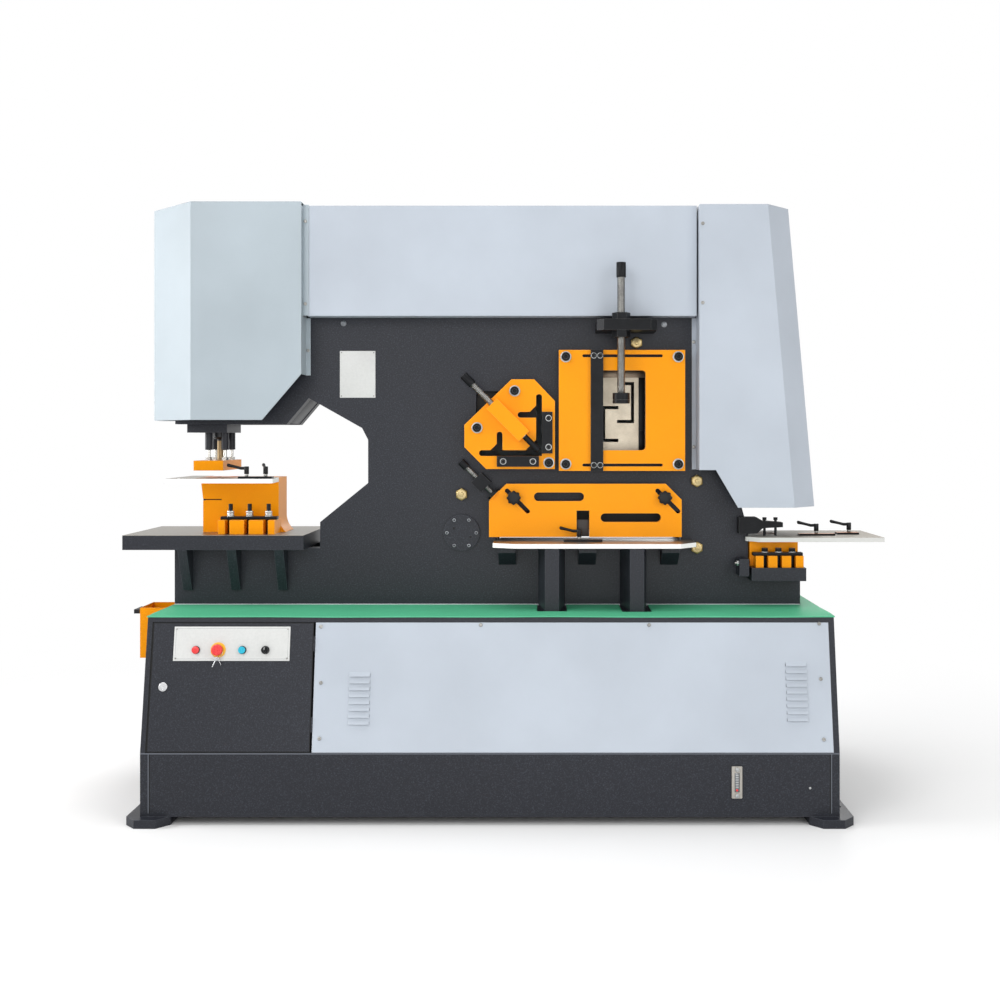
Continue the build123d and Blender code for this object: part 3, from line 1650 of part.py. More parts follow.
# Section hold-down: a plate with a large window and two slots for the fence
section_slot_places = [
    ((fence_slot_left + fence_slot_right) / 2, z)
    for z in (section_high - fence_slot_inset, section_low + fence_slot_inset)
]
with BuildPart() as section_hold_down:
    with BuildSketch(facing_front(-hold_down_back)):
        with Locations(((section_left + section_right) / 2, (section_low + section_high) / 2)):
            Rectangle(section_right - section_left, section_high - section_low)
        with Locations(((window_left + window_right) / 2, (window_low + window_high) / 2)):
            RectangleRounded(
                window_right - window_left, window_high - window_low, window_radius, mode=Mode.SUBTRACT,
            )
        with Locations(*section_slot_places):
            SlotOverall(fence_slot_right - fence_slot_left, fence_slot_height, mode=Mode.SUBTRACT)
    extrude(amount=hold_down_thickness)
section_hold_down.part.label = "section_hold_down"
export_step(section_hold_down.part, "parts/section_hold_down.step")

# Section fence: an upright bar held in the slots by two pairs of screws
fence_middle = (fence_bar_left + fence_bar_right) / 2
with BuildPart() as section_fence:
    block(
        fence_bar_left, fence_bar_right, -hold_down_front - fence_bar_thickness, -hold_down_front,
        section_low, section_high,
    )
    for _, z in section_slot_places:
        for x in (fence_middle - fence_screw_pitch / 2, fence_middle + fence_screw_pitch / 2):
            cap_screw(x, z, -hold_down_front - fence_bar_thickness, fence_screw_radius, fence_screw_height)
            with BuildSketch(facing_front(-hold_down_back)):
                with Locations((x, z)):
                    Circle(fence_stud_radius)
            extrude(amount=hold_down_thickness)
section_fence.part.label = "section_fence"
export_step(section_fence.part, "parts/section_fence.step")

# Section screw: the upright screw that presses its foot down on a bar
with BuildPart() as section_screw:
    upright(
        section_screw_x, section_screw_y, section_screw_top - section_grip_length, section_screw_top,
        section_grip_radius,
    )
    chamfer(section_screw.edges().filter_by(GeomType.CIRCLE), screw_root_chamfer)
    upright(
        section_screw_x, section_screw_y, section_foot_high, section_screw_top - section_grip_length,
        section_screw_radius,
    )
section_screw.part.label = "section_screw"
export_step(section_screw.part, "parts/section_screw.step")

with BuildPart() as section_foot:
    upright(section_screw_x, section_screw_y, section_foot_low, section_foot_high, section_foot_radius)
    chamfer(section_foot.faces().sort_by(Axis.Z)[-1].edges(), screw_root_chamfer)
    with BuildSketch(Plane.XY.offset(section_foot_low + section_foot_lip)):
        with Locations((section_screw_x, section_screw_y)):
            Circle(section_foot_radius)
            Circle(section_foot_radius - screw_root_chamfer, mode=Mode.SUBTRACT)
    extrude(amount=screw_root_chamfer, mode=Mode.SUBTRACT)
section_foot.part.label = "section_foot"
export_step(section_foot.part, "parts/section_foot.step")

# Hold-down bolts: cap screws on washers in front of the plates, and the spacer tubes behind them
hold_down_bolt_places = [
    (angle_bolt_top_x, angle_bolt_top_z),
    (angle_bolt_left_x, angle_bolt_left_z),
    (angle_bolt_corner_x, angle_bolt_corner_z),
] + [
    (x, z)
    for x in (section_left + section_bolt_inset, section_right - section_bolt_inset)
    for z in (section_low + section_bolt_inset, section_high - section_bolt_inset)
]
with BuildPart() as hold_down_bolts:
    with BuildSketch(facing_front(-hold_down_front)):
        with Locations(*hold_down_bolt_places):
            Circle(hold_down_washer)
    extrude(amount=hold_down_washer_thickness)
    for x, z in hold_down_bolt_places:
        cap_screw(
            x, z, -hold_down_front - hold_down_washer_thickness, hold_down_bolt_head, hold_down_bolt_height,
        )
    with BuildSketch(facing_front(-plate_front)):
        with Locations(*hold_down_bolt_places):
            Circle(hold_down_spacer)
    extrude(amount=hold_down_back - plate_front)
hold_down_bolts.part.label = "hold_down_bolts"
export_step(hold_down_bolts.part, "parts/hold_down_bolts.step")

# Flat-bar hold-down: a plate that slides in two slots on the diagonal, with the foot of its stop screw
slot_shift = (knob_slot_down - knob_slot_up) / 2 * half_turn_share
stop_axis = Plane(
    origin=(stop_block_x, -(hold_down_front + hold_down_back) / 2, stop_block_z),
    x_dir=(0, 1, 0),
    z_dir=(1, 0, -1),
)
corner_reach = (flat_left - stop_block_x - flat_high + flat_left_corner + stop_block_z) * half_turn_share
knob_slot_turn = -45
with BuildPart() as flat_hold_down:
    with BuildSketch(facing_front(-hold_down_back)):
        Polygon(
            (flat_left, flat_low),
            (flat_right, flat_low),
            (flat_right, flat_high - flat_right_corner),
            (flat_right - flat_right_corner, flat_high),
            (flat_left + flat_left_corner, flat_high),
            (flat_left, flat_high - flat_left_corner),
            align=None,
        )
        with Locations(((upper_oblong_left + upper_oblong_right) / 2, upper_oblong_z)):
            SlotOverall(upper_oblong_right - upper_oblong_left, oblong_height, mode=Mode.SUBTRACT)
        with Locations(((lower_oblong_left + lower_oblong_right) / 2, lower_oblong_z)):
            SlotOverall(lower_oblong_right - lower_oblong_left, oblong_height, mode=Mode.SUBTRACT)
        with Locations(((flat_notch_left + flat_notch_right) / 2, (flat_low + flat_notch_high) / 2)):
            Rectangle(flat_notch_right - flat_notch_left, flat_notch_high - flat_low, mode=Mode.SUBTRACT)
        for x in (knob_left_x, knob_right_x):
            with Locations(Location((x + slot_shift, knob_z - slot_shift, 0), (0, 0, knob_slot_turn))):
                SlotOverall(knob_slot_up + knob_slot_down, knob_slot_width, mode=Mode.SUBTRACT)
    extrude(amount=hold_down_thickness)
    with BuildSketch(stop_axis.offset(corner_reach - stop_foot_thickness)):
        Circle(stop_foot_radius)
    extrude(amount=stop_foot_thickness)
flat_hold_down.part.label = "flat_hold_down"
export_step(flat_hold_down.part, "parts/flat_hold_down.step")

# Brackets: a square block for the stop screw, a bracket with nuts for the section screw, and the guide blocks
# of the angle station with their screws
guide_top = hold_down_front + guide_thickness
with BuildPart() as frame_brackets:
    with BuildSketch(facing_front(-plate_front)):
        with Locations(Location((stop_block_x, stop_block_z, 0), (0, 0, knob_slot_turn))):
            Rectangle(stop_block_size, stop_block_size)
    extrude(amount=stop_block_front - plate_front)
    with BuildSketch(stop_axis.offset(-stop_block_size)):
        Circle(stop_screw_radius + running_fit)
    extrude(amount=2 * stop_block_size, mode=Mode.SUBTRACT)
    with BuildSketch(Plane.XY.offset(bracket_low)):
        Polygon(
            (bracket_left, -plate_front),
            (bracket_left, -bracket_front + bracket_corner),
            (bracket_left + bracket_corner, -bracket_front),
            (bracket_right - bracket_corner, -bracket_front),
            (bracket_right, -bracket_front + bracket_corner),
            (bracket_right, -plate_front),
            align=None,
        )
    extrude(amount=bracket_high - bracket_low)
    with BuildSketch(Plane.XY.offset(bracket_low - section_nut_height)):
        with Locations((section_screw_x, section_screw_y)):
            RegularPolygon(section_nut_radius, 6)
    extrude(amount=2 * section_nut_height + bracket_high - bracket_low)
    upright(
        section_screw_x, section_screw_y,
        bracket_low - section_nut_height, bracket_high + section_nut_height,
        section_screw_radius + running_fit, Mode.SUBTRACT,
    )
    block(
        angle_slot_x, angle_slot_x + guide_width, -guide_top, -hold_down_front,
        side_guide_low, side_guide_high,
    )
    block(
        floor_guide_left, floor_guide_right, -guide_top, -hold_down_front,
        angle_slot_z - guide_width, angle_slot_z,
    )
    for x, z in (
        (side_screw_x, side_screw_low),
        (side_screw_x, side_screw_high),
        (floor_screw_left, floor_screw_z),
        (floor_screw_right, floor_screw_z),
    ):
        cap_screw(x, z, -guide_top, guide_cap_radius, guide_cap_height)
frame_brackets.part.label = "frame_brackets"
export_step(frame_brackets.part, "parts/frame_brackets.step")

# Stop screw: a grip and a plain shank through the square block
with BuildPart() as stop_screw:
    with BuildSketch(stop_axis.offset(-stop_grip_back)):
        Circle(stop_grip_radius)
    extrude(amount=stop_grip_length)
    chamfer(stop_screw.edges().filter_by(GeomType.CIRCLE), screw_root_chamfer)
    with BuildSketch(stop_axis.offset(-stop_grip_back + stop_grip_length)):
        Circle(stop_screw_radius)
    extrude(amount=stop_grip_back - stop_grip_length + corner_reach - stop_foot_thickness)
stop_screw.part.label = "stop_screw"
export_step(stop_screw.part, "parts/stop_screw.step")

# Star knobs: lobed knobs on studs that stand in the frame plate
for knob_name, knob_x in (("star_knob_left", knob_left_x), ("star_knob_right", knob_right_x)):
    with BuildPart() as star_knob:
        with BuildSketch(facing_front(-hold_down_front)):
            with Locations((knob_x, knob_z)):
                Circle(knob_collar_radius)
        extrude(amount=knob_collar_height)
        with BuildSketch(facing_front(-hold_down_front - knob_collar_height)):
            with Locations((knob_x, knob_z)):
                Circle(knob_radius)
                with PolarLocations(knob_radius + knob_lobe_radius / 2, knob_lobe_count):
                    Circle(knob_lobe_radius, mode=Mode.SUBTRACT)
        extrude(amount=knob_thickness)
        with BuildSketch(facing_front(-plate_front)):
            with Locations((knob_x, knob_z)):
                Circle(knob_stud_radius)
        extrude(amount=hold_down_front - plate_front)
    star_knob.part.label = knob_name
    export_step(star_knob.part, f"parts/{knob_name}.step")

# Shear table: a white plate with cut corners in front of the flat-bar blades
with BuildPart() as shear_table:
    with BuildSketch(Plane.XY.offset(shear_table_low)):
        Polygon(
            (shear_table_left, -plate_front),
            (shear_table_left, -shear_table_front + shear_table_left_corner_y),
            (shear_table_left + shear_table_left_corner_x, -shear_table_front),
            (shear_table_right - shear_table_right_corner, -shear_table_front),
            (shear_table_right, -shear_table_front + shear_table_right_corner),
            (shear_table_right, -plate_front),
            align=None,
        )
    extrude(amount=table_thickness)
shear_table.part.label = "shear_table"
export_step(shear_table.part, "parts/shear_table.step")

# Table supports: two folded posts from the base and three welded brackets on the frame
with BuildPart() as table_supports:
    for x in (post_left_x, post_right_x):
        with BuildSketch(Plane.XY.offset(base_top)):
            Polygon(
                (x - post_back_width / 2, -plate_front),
                (x - post_front_width / 2, -post_front),
                (x + post_front_width / 2, -post_front),
                (x + post_back_width / 2, -plate_front),
                align=None,
            )
            Polygon(
                (x - post_back_width / 2 + post_sheet, -plate_front),
                (x - post_front_width / 2 + post_sheet, -post_front + post_sheet),
                (x + post_front_width / 2 - post_sheet, -post_front + post_sheet),
                (x + post_back_width / 2 - post_sheet, -plate_front),
                align=None,
                mode=Mode.SUBTRACT,
            )
        extrude(amount=shear_table_low - base_top)
    for x in (support_left_x, support_middle_x, support_right_x):
        with BuildSketch(Plane.YZ.offset(x - support_width / 2)):
            Polygon(
                (-plate_front, shear_table_low),
                (-plate_front - support_reach, shear_table_low),
                (-plate_front - support_reach, shear_table_low - support_toe),
                (-plate_front, shear_table_low - support_height),
                align=None,
            )
        extrude(amount=support_width)
table_supports.part.label = "table_supports"
export_step(table_supports.part, "parts/table_supports.step")

# Shear fence: a flat bar clamped on the shear table
with BuildPart() as shear_fence:
    block(
        shear_fence_left, shear_fence_right, -shear_fence_front, -shear_fence_back,
        shear_table_top, shear_fence_top,
    )
shear_fence.part.label = "shear_fence"
export_step(shear_fence.part, "parts/shear_fence.step")

# Notching shelf: a thick plate on the shoulder of the frame
with BuildPart() as notch_shelf:
    block(notch_edge_x, shelf_right, -shelf_front, shelf_back, shelf_seat, shelf_high)
    block(
        notch_die_left, notch_die_right, -notch_die_half_depth, notch_die_half_depth,
        shelf_seat, shelf_high, Mode.SUBTRACT,
    )
    block(
        adjust_block_left, adjust_block_right,
        -shelf_front, -plate_front,
        adjust_block_low, adjust_block_high,
    )
notch_shelf.part.label = "notch_shelf"
export_step(notch_shelf.part, "parts/notch_shelf.step")

# Notching die block: a block with a slug opening and a slotted foot
with BuildPart() as notch_die:
    block(
        notch_block_left, notch_block_right, -notch_block_half_depth, notch_block_half_depth,
        shelf_high, notch_table_low,
    )
    block(
        notch_die_left, notch_die_right, -notch_die_half_depth, notch_die_half_depth,
        shelf_high, notch_table_low, Mode.SUBTRACT,
    )
    block(
        notch_foot_left, notch_foot_right, -notch_foot_front, -notch_block_half_depth,
        shelf_high, notch_foot_high,
    )
    for x in notch_bolts:
        block(
            x - foot_slot_width / 2, x + foot_slot_width / 2,
            -notch_foot_front, -notch_block_half_depth, shelf_high, notch_foot_high, Mode.SUBTRACT,
        )
notch_die.part.label = "notch_die"
export_step(notch_die.part, "parts/notch_die.step")

# Notching table: a white plate round the die opening
with BuildPart() as notch_table:
    with BuildSketch(Plane.XY.offset(notch_table_low)):
        Polygon(
            (notch_edge_x + loose_fit, -plate_front),
            (notch_table_left, -plate_front - loose_fit),
            (notch_table_left, -notch_table_front + notch_table_corner),
            (notch_table_left + notch_table_corner, -notch_table_front),
            (notch_table_right, -notch_table_front),
            (notch_table_right, notch_table_back),
            (notch_edge_x + loose_fit, notch_table_back),
            align=None,
        )
        with Locations(((notch_die_left + notch_die_right) / 2, 0)):
            Rectangle(notch_die_right - notch_die_left, 2 * notch_die_half_depth, mode=Mode.SUBTRACT)
    extrude(amount=table_thickness)
notch_table.part.label = "notch_table"
export_step(notch_table.part, "parts/notch_table.step")

# Stripper arm: a cast arm on the frame with two pressing screws
with BuildPart() as notch_arm:
    with BuildSketch(facing_front(-plate_front)):
        Polygon(
            (arm_left, arm_low),
            (arm_right, arm_low),
            (arm_waist_x, arm_waist_low),
            (arm_tip, arm_tip_low),
            (arm_tip, arm_tip_high),
            (arm_waist_x, arm_waist_high),
            (arm_right, arm_high),
            (arm_left, arm_high),
            align=None,
        )
    extrude(amount=arm_depth)
    for x in (arm_screw_left_x, arm_screw_right_x):
        upright(x, -plate_front - arm_depth / 2, arm_screw_low, arm_screw_high, arm_screw_radius)
        upright(
            x, -plate_front - arm_depth / 2,
            arm_screw_high, arm_screw_high + arm_screw_head_height,
            arm_screw_head,
        )
notch_arm.part.label = "notch_arm"
export_step(notch_arm.part, "parts/notch_arm.step")

# Notching slides: two flat bars clamped on the notching table
with BuildPart() as first_notch_slide:
    block(
        first_slide_left, first_slide_right, -first_slide_front, -first_slide_back,
        notch_table_top, notch_slide_top,
    )
first_notch_slide.part.label = "first_notch_slide"
export_step(first_notch_slide.part, "parts/first_notch_slide.step")

with BuildPart() as second_notch_slide:
    block(
        second_slide_left, second_slide_right, -second_slide_front, -second_slide_back,
        notch_table_top, notch_slide_top,
    )
second_notch_slide.part.label = "second_notch_slide"
export_step(second_notch_slide.part, "parts/second_notch_slide.step")

# Slug bin: an open sheet box on the left end of the base with a loop handle
bin_left = -base_half_length - bin_length
bin_middle_y = (bin_back - bin_front) / 2
with BuildPart() as slug_bin:
    block(bin_left, -base_half_length, -bin_front, bin_back, bin_low, bin_high)
    block(
        bin_left + bin_wall, -base_half_length - bin_wall, -bin_front + bin_wall, bin_back - bin_wall,
        bin_low + bin_wall, bin_high, Mode.SUBTRACT,
    )
    handle_z = bin_high - bin_handle_drop - bin_handle_radius
    block(
        bin_left - bin_handle_reach, bin_left,
        bin_middle_y - bin_handle_width / 2, bin_middle_y + bin_handle_width / 2,
        handle_z - bin_handle_radius, handle_z + bin_handle_radius,
    )
    block(
        bin_left - bin_handle_reach + 2 * bin_handle_radius, bin_left,
        bin_middle_y - bin_handle_width / 2 + 2 * bin_handle_radius,
        bin_middle_y + bin_handle_width / 2 - 2 * bin_handle_radius,
        handle_z - bin_handle_radius, handle_z + bin_handle_radius, Mode.SUBTRACT,
    )
slug_bin.part.label = "slug_bin"
export_step(slug_bin.part, "parts/slug_bin.step")

# Electrical panel: a mounting plate with rows of switchgear behind the door
with BuildPart() as electrical_panel:
    block(
        switch_plate_left, switch_plate_right, switch_plate_y, switch_plate_y + switch_plate_thickness,
        plinth_top + base_wall, switch_plate_high,
    )
    row_height = (switch_plate_high - switch_plate_low - 3 * switch_box_gap) / 2
    for row in (0, 1):
        row_low = switch_plate_low + switch_box_gap + row * (row_height + switch_box_gap)
        block(
            switch_plate_left + switch_box_gap, switch_plate_right - switch_box_gap,
            switch_plate_y - switch_box_depth, switch_plate_y, row_low, row_low + row_height,
        )
electrical_panel.part.label = "electrical_panel"
export_step(electrical_panel.part, "parts/electrical_panel.step")
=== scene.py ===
from math import atan2, cos, hypot, pi, radians, sin

import bpy
from mathutils import Matrix


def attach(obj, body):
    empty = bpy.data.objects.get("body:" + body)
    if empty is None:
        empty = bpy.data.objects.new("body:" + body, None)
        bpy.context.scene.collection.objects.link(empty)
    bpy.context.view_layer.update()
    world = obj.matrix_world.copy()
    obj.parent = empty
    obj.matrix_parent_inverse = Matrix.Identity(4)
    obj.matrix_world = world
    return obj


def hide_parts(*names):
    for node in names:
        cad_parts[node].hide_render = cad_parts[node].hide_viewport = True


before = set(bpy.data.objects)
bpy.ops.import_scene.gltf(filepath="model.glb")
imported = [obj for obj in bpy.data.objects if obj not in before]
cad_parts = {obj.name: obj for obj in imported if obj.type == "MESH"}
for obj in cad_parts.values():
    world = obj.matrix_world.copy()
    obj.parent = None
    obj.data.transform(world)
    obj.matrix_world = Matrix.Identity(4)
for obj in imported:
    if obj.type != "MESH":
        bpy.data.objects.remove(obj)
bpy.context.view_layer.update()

# The base: a cabinet weldment of folded and flat steel plate on two long foot plates, with a sealed
# oil tank as its plinth. The door hangs on pin hinges at the left of the sloping front.
mm = 0.001


def linear(code):
    """Gives the linear colour of an sRGB hex code."""
    parts = [int(code[i:i + 2], 16) / 255 for i in (1, 3, 5)]
    return [p / 12.92 if p <= 0.04045 else ((p + 0.055) / 1.055) ** 2.4 for p in parts] + [1.0]


def add_node(material, kind, links=None, **settings):
    """Adds a node: links holds values or outputs by socket, settings holds the node's own options."""
    node = material.node_tree.nodes.new(kind)
    for option, value in settings.items():
        setattr(node, option, value)
    for socket, value in (links or {}).items():
        if isinstance(value, bpy.types.NodeSocket):
            material.node_tree.links.new(value, node.inputs[socket])
        else:
            node.inputs[socket].default_value = value
    return node


def new_finish(name):
    """Starts a material and gives it with its surface shader and its Object coordinates."""
    material = bpy.data.materials.new(name)
    material.use_nodes = True
    place = add_node(material, "ShaderNodeTexCoord").outputs["Object"]
    return material, material.node_tree.nodes["Principled BSDF"], place


def dress(material, *names):
    """Gives CAD nodes a finish."""
    for name in names:
        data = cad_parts[name].data
        data.materials.clear()
        data.materials.append(material)


def per_mm(size):
    """Gives the texture scale of a pattern whose grains are size millimetres wide."""
    return 1000 / size


def worn_edges(material, radius_mm):
    """Rounds the edges in the shading, and gives that normal and a mask that is 1 on the edges."""
    rounded = add_node(material, "ShaderNodeBevel", {"Radius": radius_mm * mm}, samples=6)
    flat = add_node(material, "ShaderNodeNewGeometry")
    facing = add_node(material, "ShaderNodeVectorMath", {
        0: rounded.outputs["Normal"], 1: flat.outputs["Normal"]}, operation="DOT_PRODUCT")
    mask = add_node(material, "ShaderNodeMapRange", {
        "Value": facing.outputs["Value"], "From Min": 0.995, "From Max": 0.9})
    return rounded.outputs["Normal"], mask.outputs["Result"]


def sprayed_paint(name, colour, fleck, edge, grain_mm, depth_mm, rough, fleck_share, edge_share,
                  specular=0.3):
    """A sprayed paint: fine grain in colour and relief, slow patches, and edges rubbed to a colour."""
    material, shader, place = new_finish(name)
    normal, mask = worn_edges(material, radius_mm=2.5)
    patch_mm = 420
    grain = add_node(material, "ShaderNodeTexNoise", {
        "Vector": place, "Scale": per_mm(grain_mm), "Detail": 3.0, "Roughness": 0.65})
    speck = add_node(material, "ShaderNodeMapRange", {
        "Value": grain.outputs["Fac"], "From Min": 0.5, "From Max": 0.78, "To Max": fleck_share})
    patch = add_node(material, "ShaderNodeTexNoise", {
        "Vector": place, "Scale": per_mm(patch_mm), "Detail": 4.0})
    shade = add_node(material, "ShaderNodeMapRange", {
        "Value": patch.outputs["Fac"], "From Min": 0.3, "From Max": 0.7, "To Min": 0.93, "To Max": 1.06})
    flecked = add_node(material, "ShaderNodeMix", {
        "Factor": speck.outputs["Result"], "A": linear(colour), "B": linear(fleck)}, data_type="RGBA")
    rub = add_node(material, "ShaderNodeMath", {
        0: mask, 1: patch.outputs["Fac"]}, operation="MULTIPLY")
    rubbed = add_node(material, "ShaderNodeMath", {0: rub.outputs[0], 1: edge_share}, operation="MULTIPLY")
    edged = add_node(material, "ShaderNodeMix", {
        "Factor": rubbed.outputs[0], "A": flecked.outputs["Result"], "B": linear(edge)}, data_type="RGBA")
    toned = add_node(material, "ShaderNodeHueSaturation", {
        "Value": shade.outputs["Result"], "Color": edged.outputs["Result"]})
    gloss = add_node(material, "ShaderNodeMapRange", {
        "Value": patch.outputs["Fac"], "To Min": rough - 0.08, "To Max": rough + 0.08})
    relief = add_node(material, "ShaderNodeBump", {
        "Height": grain.outputs["Fac"], "Distance": depth_mm * mm, "Strength": 0.6, "Normal": normal})
    for socket, output in (("Base Color", toned.outputs["Color"]), ("Roughness", gloss.outputs["Result"]),
                           ("Normal", relief.outputs["Normal"])):
        material.node_tree.links.new(output, shader.inputs[socket])
    shader.inputs["Specular IOR Level"].default_value = specular
    return material


def partly(name, finish, zone, colour, rough, metal):
    """Copies a finish and shows another in a zone, given by its limits in millimetres on each axis."""
    material = finish.copy()
    material.name = name
    place = add_node(material, "ShaderNodeTexCoord").outputs["Object"]
    axes = add_node(material, "ShaderNodeSeparateXYZ", {"Vector": place})
    mask = 1.0
    for axis, (low, high) in zone.items():
        inside = add_node(material, "ShaderNodeMath", {
            0: axes.outputs[axis], 1: (low + high) / 2 * mm, 2: (high - low) / 2 * mm}, operation="COMPARE")
        mask = add_node(material, "ShaderNodeMath", {
            0: inside.outputs[0], 1: mask}, operation="MULTIPLY").outputs[0]
    shader = material.node_tree.nodes["Principled BSDF"]
    for socket, value in (("Base Color", linear(colour)), ("Roughness", rough), ("Metallic", metal)):
        entry = shader.inputs[socket]
        before = entry.links[0].from_socket if entry.links else entry.default_value
        mixed = add_node(material, "ShaderNodeMix", {"Factor": mask, "A": before, "B": value},
                         data_type="RGBA" if socket == "Base Color" else "FLOAT")
        material.node_tree.links.new(mixed.outputs["Result"], entry)
    return material


def with_lines(name, finish, lines):
    """Copies a finish and draws lines on it, each a zone with its colour."""
    for zone, colour in lines:
        finish = partly(name, finish, zone, colour, rough=0.6, metal=0.0)
    return finish


# Charcoal texture paint: a coarse spray, whose grain breaks up the highlights. It is rubbed pale along
# the edges, and the joints between the plates are dark. The real grain, of 1 to 2 mm, is too fine to
# show in the render, so it is drawn coarser.
charcoal_paint = sprayed_paint(
    "charcoal texture paint on steel", "#1F2128", "#4A4E58", "#747983",
    grain_mm=4.5, depth_mm=0.5, rough=0.42, fleck_share=0.55, edge_share=0.5)
# The seams between the plates are dark joints. The pale lines are painted highlights: one beside each end
# seam of the plinth, and one along the ledge edge, where the paint is also rubbed.
dark_seam_and_shade, highlight_and_rub = "#08090A", "#5C6068"
front_face, ledge, cabinet_top = -510, 253, 700
foot_top, tank_top = 42, 250
seam_x, highlight_x, half_line = 1192, 1196.5, 1.6
base_lines = [({"X": (side * x - half_line, side * x + half_line), "Z": (foot_top, tank_top)}, colour)
              for x, colour in ((seam_x, dark_seam_and_shade), (highlight_x, highlight_and_rub)) for side in (-1, 1)]
ledge_edge = {"Y": (front_face - 2, front_face + 2), "Z": (tank_top - 1.5, ledge + 0.4)}
# The dark strip on the base left of the door is painted shade, in the gap between the door and the base.
door_gap_shade = {"X": (-1208, -1204), "Z": (ledge, cabinet_top)}
base_lines += [(ledge_edge, highlight_and_rub), (door_gap_shade, dark_seam_and_shade)]
dress(with_lines("charcoal paint with plate seams", charcoal_paint, base_lines), "base_frame")
# The door's edges are painted dark all round, as painted shade in the gap round the door.
shade_wide = 5.5
door_edge_shade = ({"X": (-1205, -1200)}, {"X": (-634, -630)}, {"Z": (ledge, ledge + shade_wide)},
               {"Z": (cabinet_top - shade_wide, cabinet_top)})
dress(with_lines("charcoal paint with painted shade round the door", charcoal_paint,
                 [(zone, dark_seam_and_shade) for zone in door_edge_shade]), "cabinet_door")

# The frame: two flame-cut side plates joined by spacers, with the swing beam on its pivot pin between
# them and the two cylinders. The notching shelf and the table posts are bolted on and painted with them.
dress(charcoal_paint, "front_plate", "rear_plate", "frame_spacers", "swing_beam", "pivot_pin",
      "hydraulic_drive", "table_supports", "notch_shelf")


# The rubber mat: a green sheet, cut round the frame and the two table posts and laid loose on the base
# top, so that it lies in low waves.
def start(kind, **sizes):
    """Starts a piece from a primitive, with everything else deselected."""
    bpy.ops.object.select_all(action="DESELECT")
    getattr(bpy.ops.mesh, f"primitive_{kind}_add")(**sizes)
    return bpy.context.active_object


def modify(piece, kind, **settings):
    """Adds a modifier to a piece and applies it."""
    modifier = piece.modifiers.new(kind, kind)
    for option, value in settings.items():
        setattr(modifier, option, value)
    bpy.context.view_layer.objects.active = piece
    bpy.ops.object.modifier_apply(modifier=modifier.name)


def slab(low, high, finish, edge=0.8):
    """A flat piece between two corners in millimetres, with broken edges."""
    piece = start("cube", size=1, location=[(a + b) / 2 * mm for a, b in zip(low, high)],
                  scale=[(b - a) * mm for a, b in zip(low, high)])
    bpy.ops.object.transform_apply(location=True, rotation=True, scale=True)
    if edge:
        modify(piece, "BEVEL", width=edge * mm, segments=2, limit_method="ANGLE", angle_limit=radians(50))
    piece.data.materials.append(finish)
    return piece


def cut(piece, tool):
    """Cuts a tool out of a piece and removes the tool."""
    modify(piece, "BOOLEAN", operation="DIFFERENCE", object=tool, solver="EXACT")
    bpy.data.objects.remove(tool)


def join(name, pieces):
    """Joins finished solids to one piece."""
    bpy.ops.object.select_all(action="DESELECT")
    for piece in pieces:
        piece.select_set(True)
    bpy.context.view_layer.objects.active = pieces[0]
    if len(pieces) > 1:
        bpy.ops.object.join()
    pieces[0].name = name
    bpy.ops.object.shade_smooth_by_angle(angle=radians(32))
    return pieces[0]


def fit(piece, body):
    """Makes a piece ride on a body."""
    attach(piece, body)


# Green floor rubber: dull and a little mottled, paler where it is cut.
green_rubber = sprayed_paint(
    "green floor rubber", "#54B98D", "#40A176", "#9ADCBF",
    grain_mm=3.0, depth_mm=0.4, rough=0.62, fleck_share=0.7, edge_share=0.6)
dress(green_rubber, "rubber_mat")
mat_length, mat_width, mat_thick, mat_low = 2456, 866, 4, 715.1
wave, wave_line, wave_reach = 3.4, 360, 140
mat = start("grid", x_subdivisions=120, y_subdivisions=44, size=1)
bpy.ops.transform.resize(value=(mat_length * mm, mat_width * mm, 1))
bpy.ops.object.transform_apply(location=True, rotation=True, scale=True)
for corner in mat.data.vertices:
    x, y = corner.co.x, corner.co.y
    # A long and a short wave run along the sheet, in radians per metre.
    lift = 0.5 + 0.25 * sin(5.3 * x + 0.7) + 0.25 * sin(11.9 * x + 3.1 * y)
    near = max(0.0, 1 - abs(abs(y) - wave_line * mm) / (wave_reach * mm))
    corner.co.z = (mat_low + wave * lift * near) * mm
modify(mat, "SOLIDIFY", thickness=mat_thick * mm, offset=1)
cut_low, cut_high = 690, 760
frame_end, frame_half, post_half, post_front, post_back = 1175, 144, 55, -328, -130
cut(mat, slab((-1300, -frame_half, cut_low), (frame_end, frame_half, cut_high), green_rubber, 0.0))
for x in (219, 531):
    cut(mat, slab((x - post_half, post_front, cut_low), (x + post_half, post_back, cut_high),
                  green_rubber, 0.0))
mat.data.materials.append(green_rubber)
mat = join("floor_rubber_mat", [mat])
fit(mat, "frame")
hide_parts("rubber_mat")


# The foot seam: a bead of sealant, pressed from a gun along the foot of both side plates, where they
# stand on the base.
def moulded(name, colour, rough, specular=0.5):
    """A moulded or cast surface: one colour with a faint flow pattern in tone and gloss."""
    material, shader, place = new_finish(name)
    flow_mm = 8
    flow = add_node(material, "ShaderNodeTexNoise", {
        "Vector": place, "Scale": per_mm(flow_mm), "Detail": 2.0})
    gloss = add_node(material, "ShaderNodeMapRange", {
        "Value": flow.outputs["Fac"], "To Min": rough - 0.06, "To Max": rough + 0.06})
    tone = add_node(material, "ShaderNodeMapRange", {
        "Value": flow.outputs["Fac"], "To Min": 0.92, "To Max": 1.06})
    tinted = add_node(material, "ShaderNodeHueSaturation", {
        "Value": tone.outputs["Result"], "Color": linear(colour)})
    material.node_tree.links.new(gloss.outputs["Result"], shader.inputs["Roughness"])
    material.node_tree.links.new(tinted.outputs["Color"], shader.inputs["Base Color"])
    shader.inputs["Specular IOR Level"].default_value = specular
    return material


def at(x, y, z=0.0):
    """The place of a piece that keeps its turn."""
    return Matrix.Translation((x * mm, y * mm, z * mm))


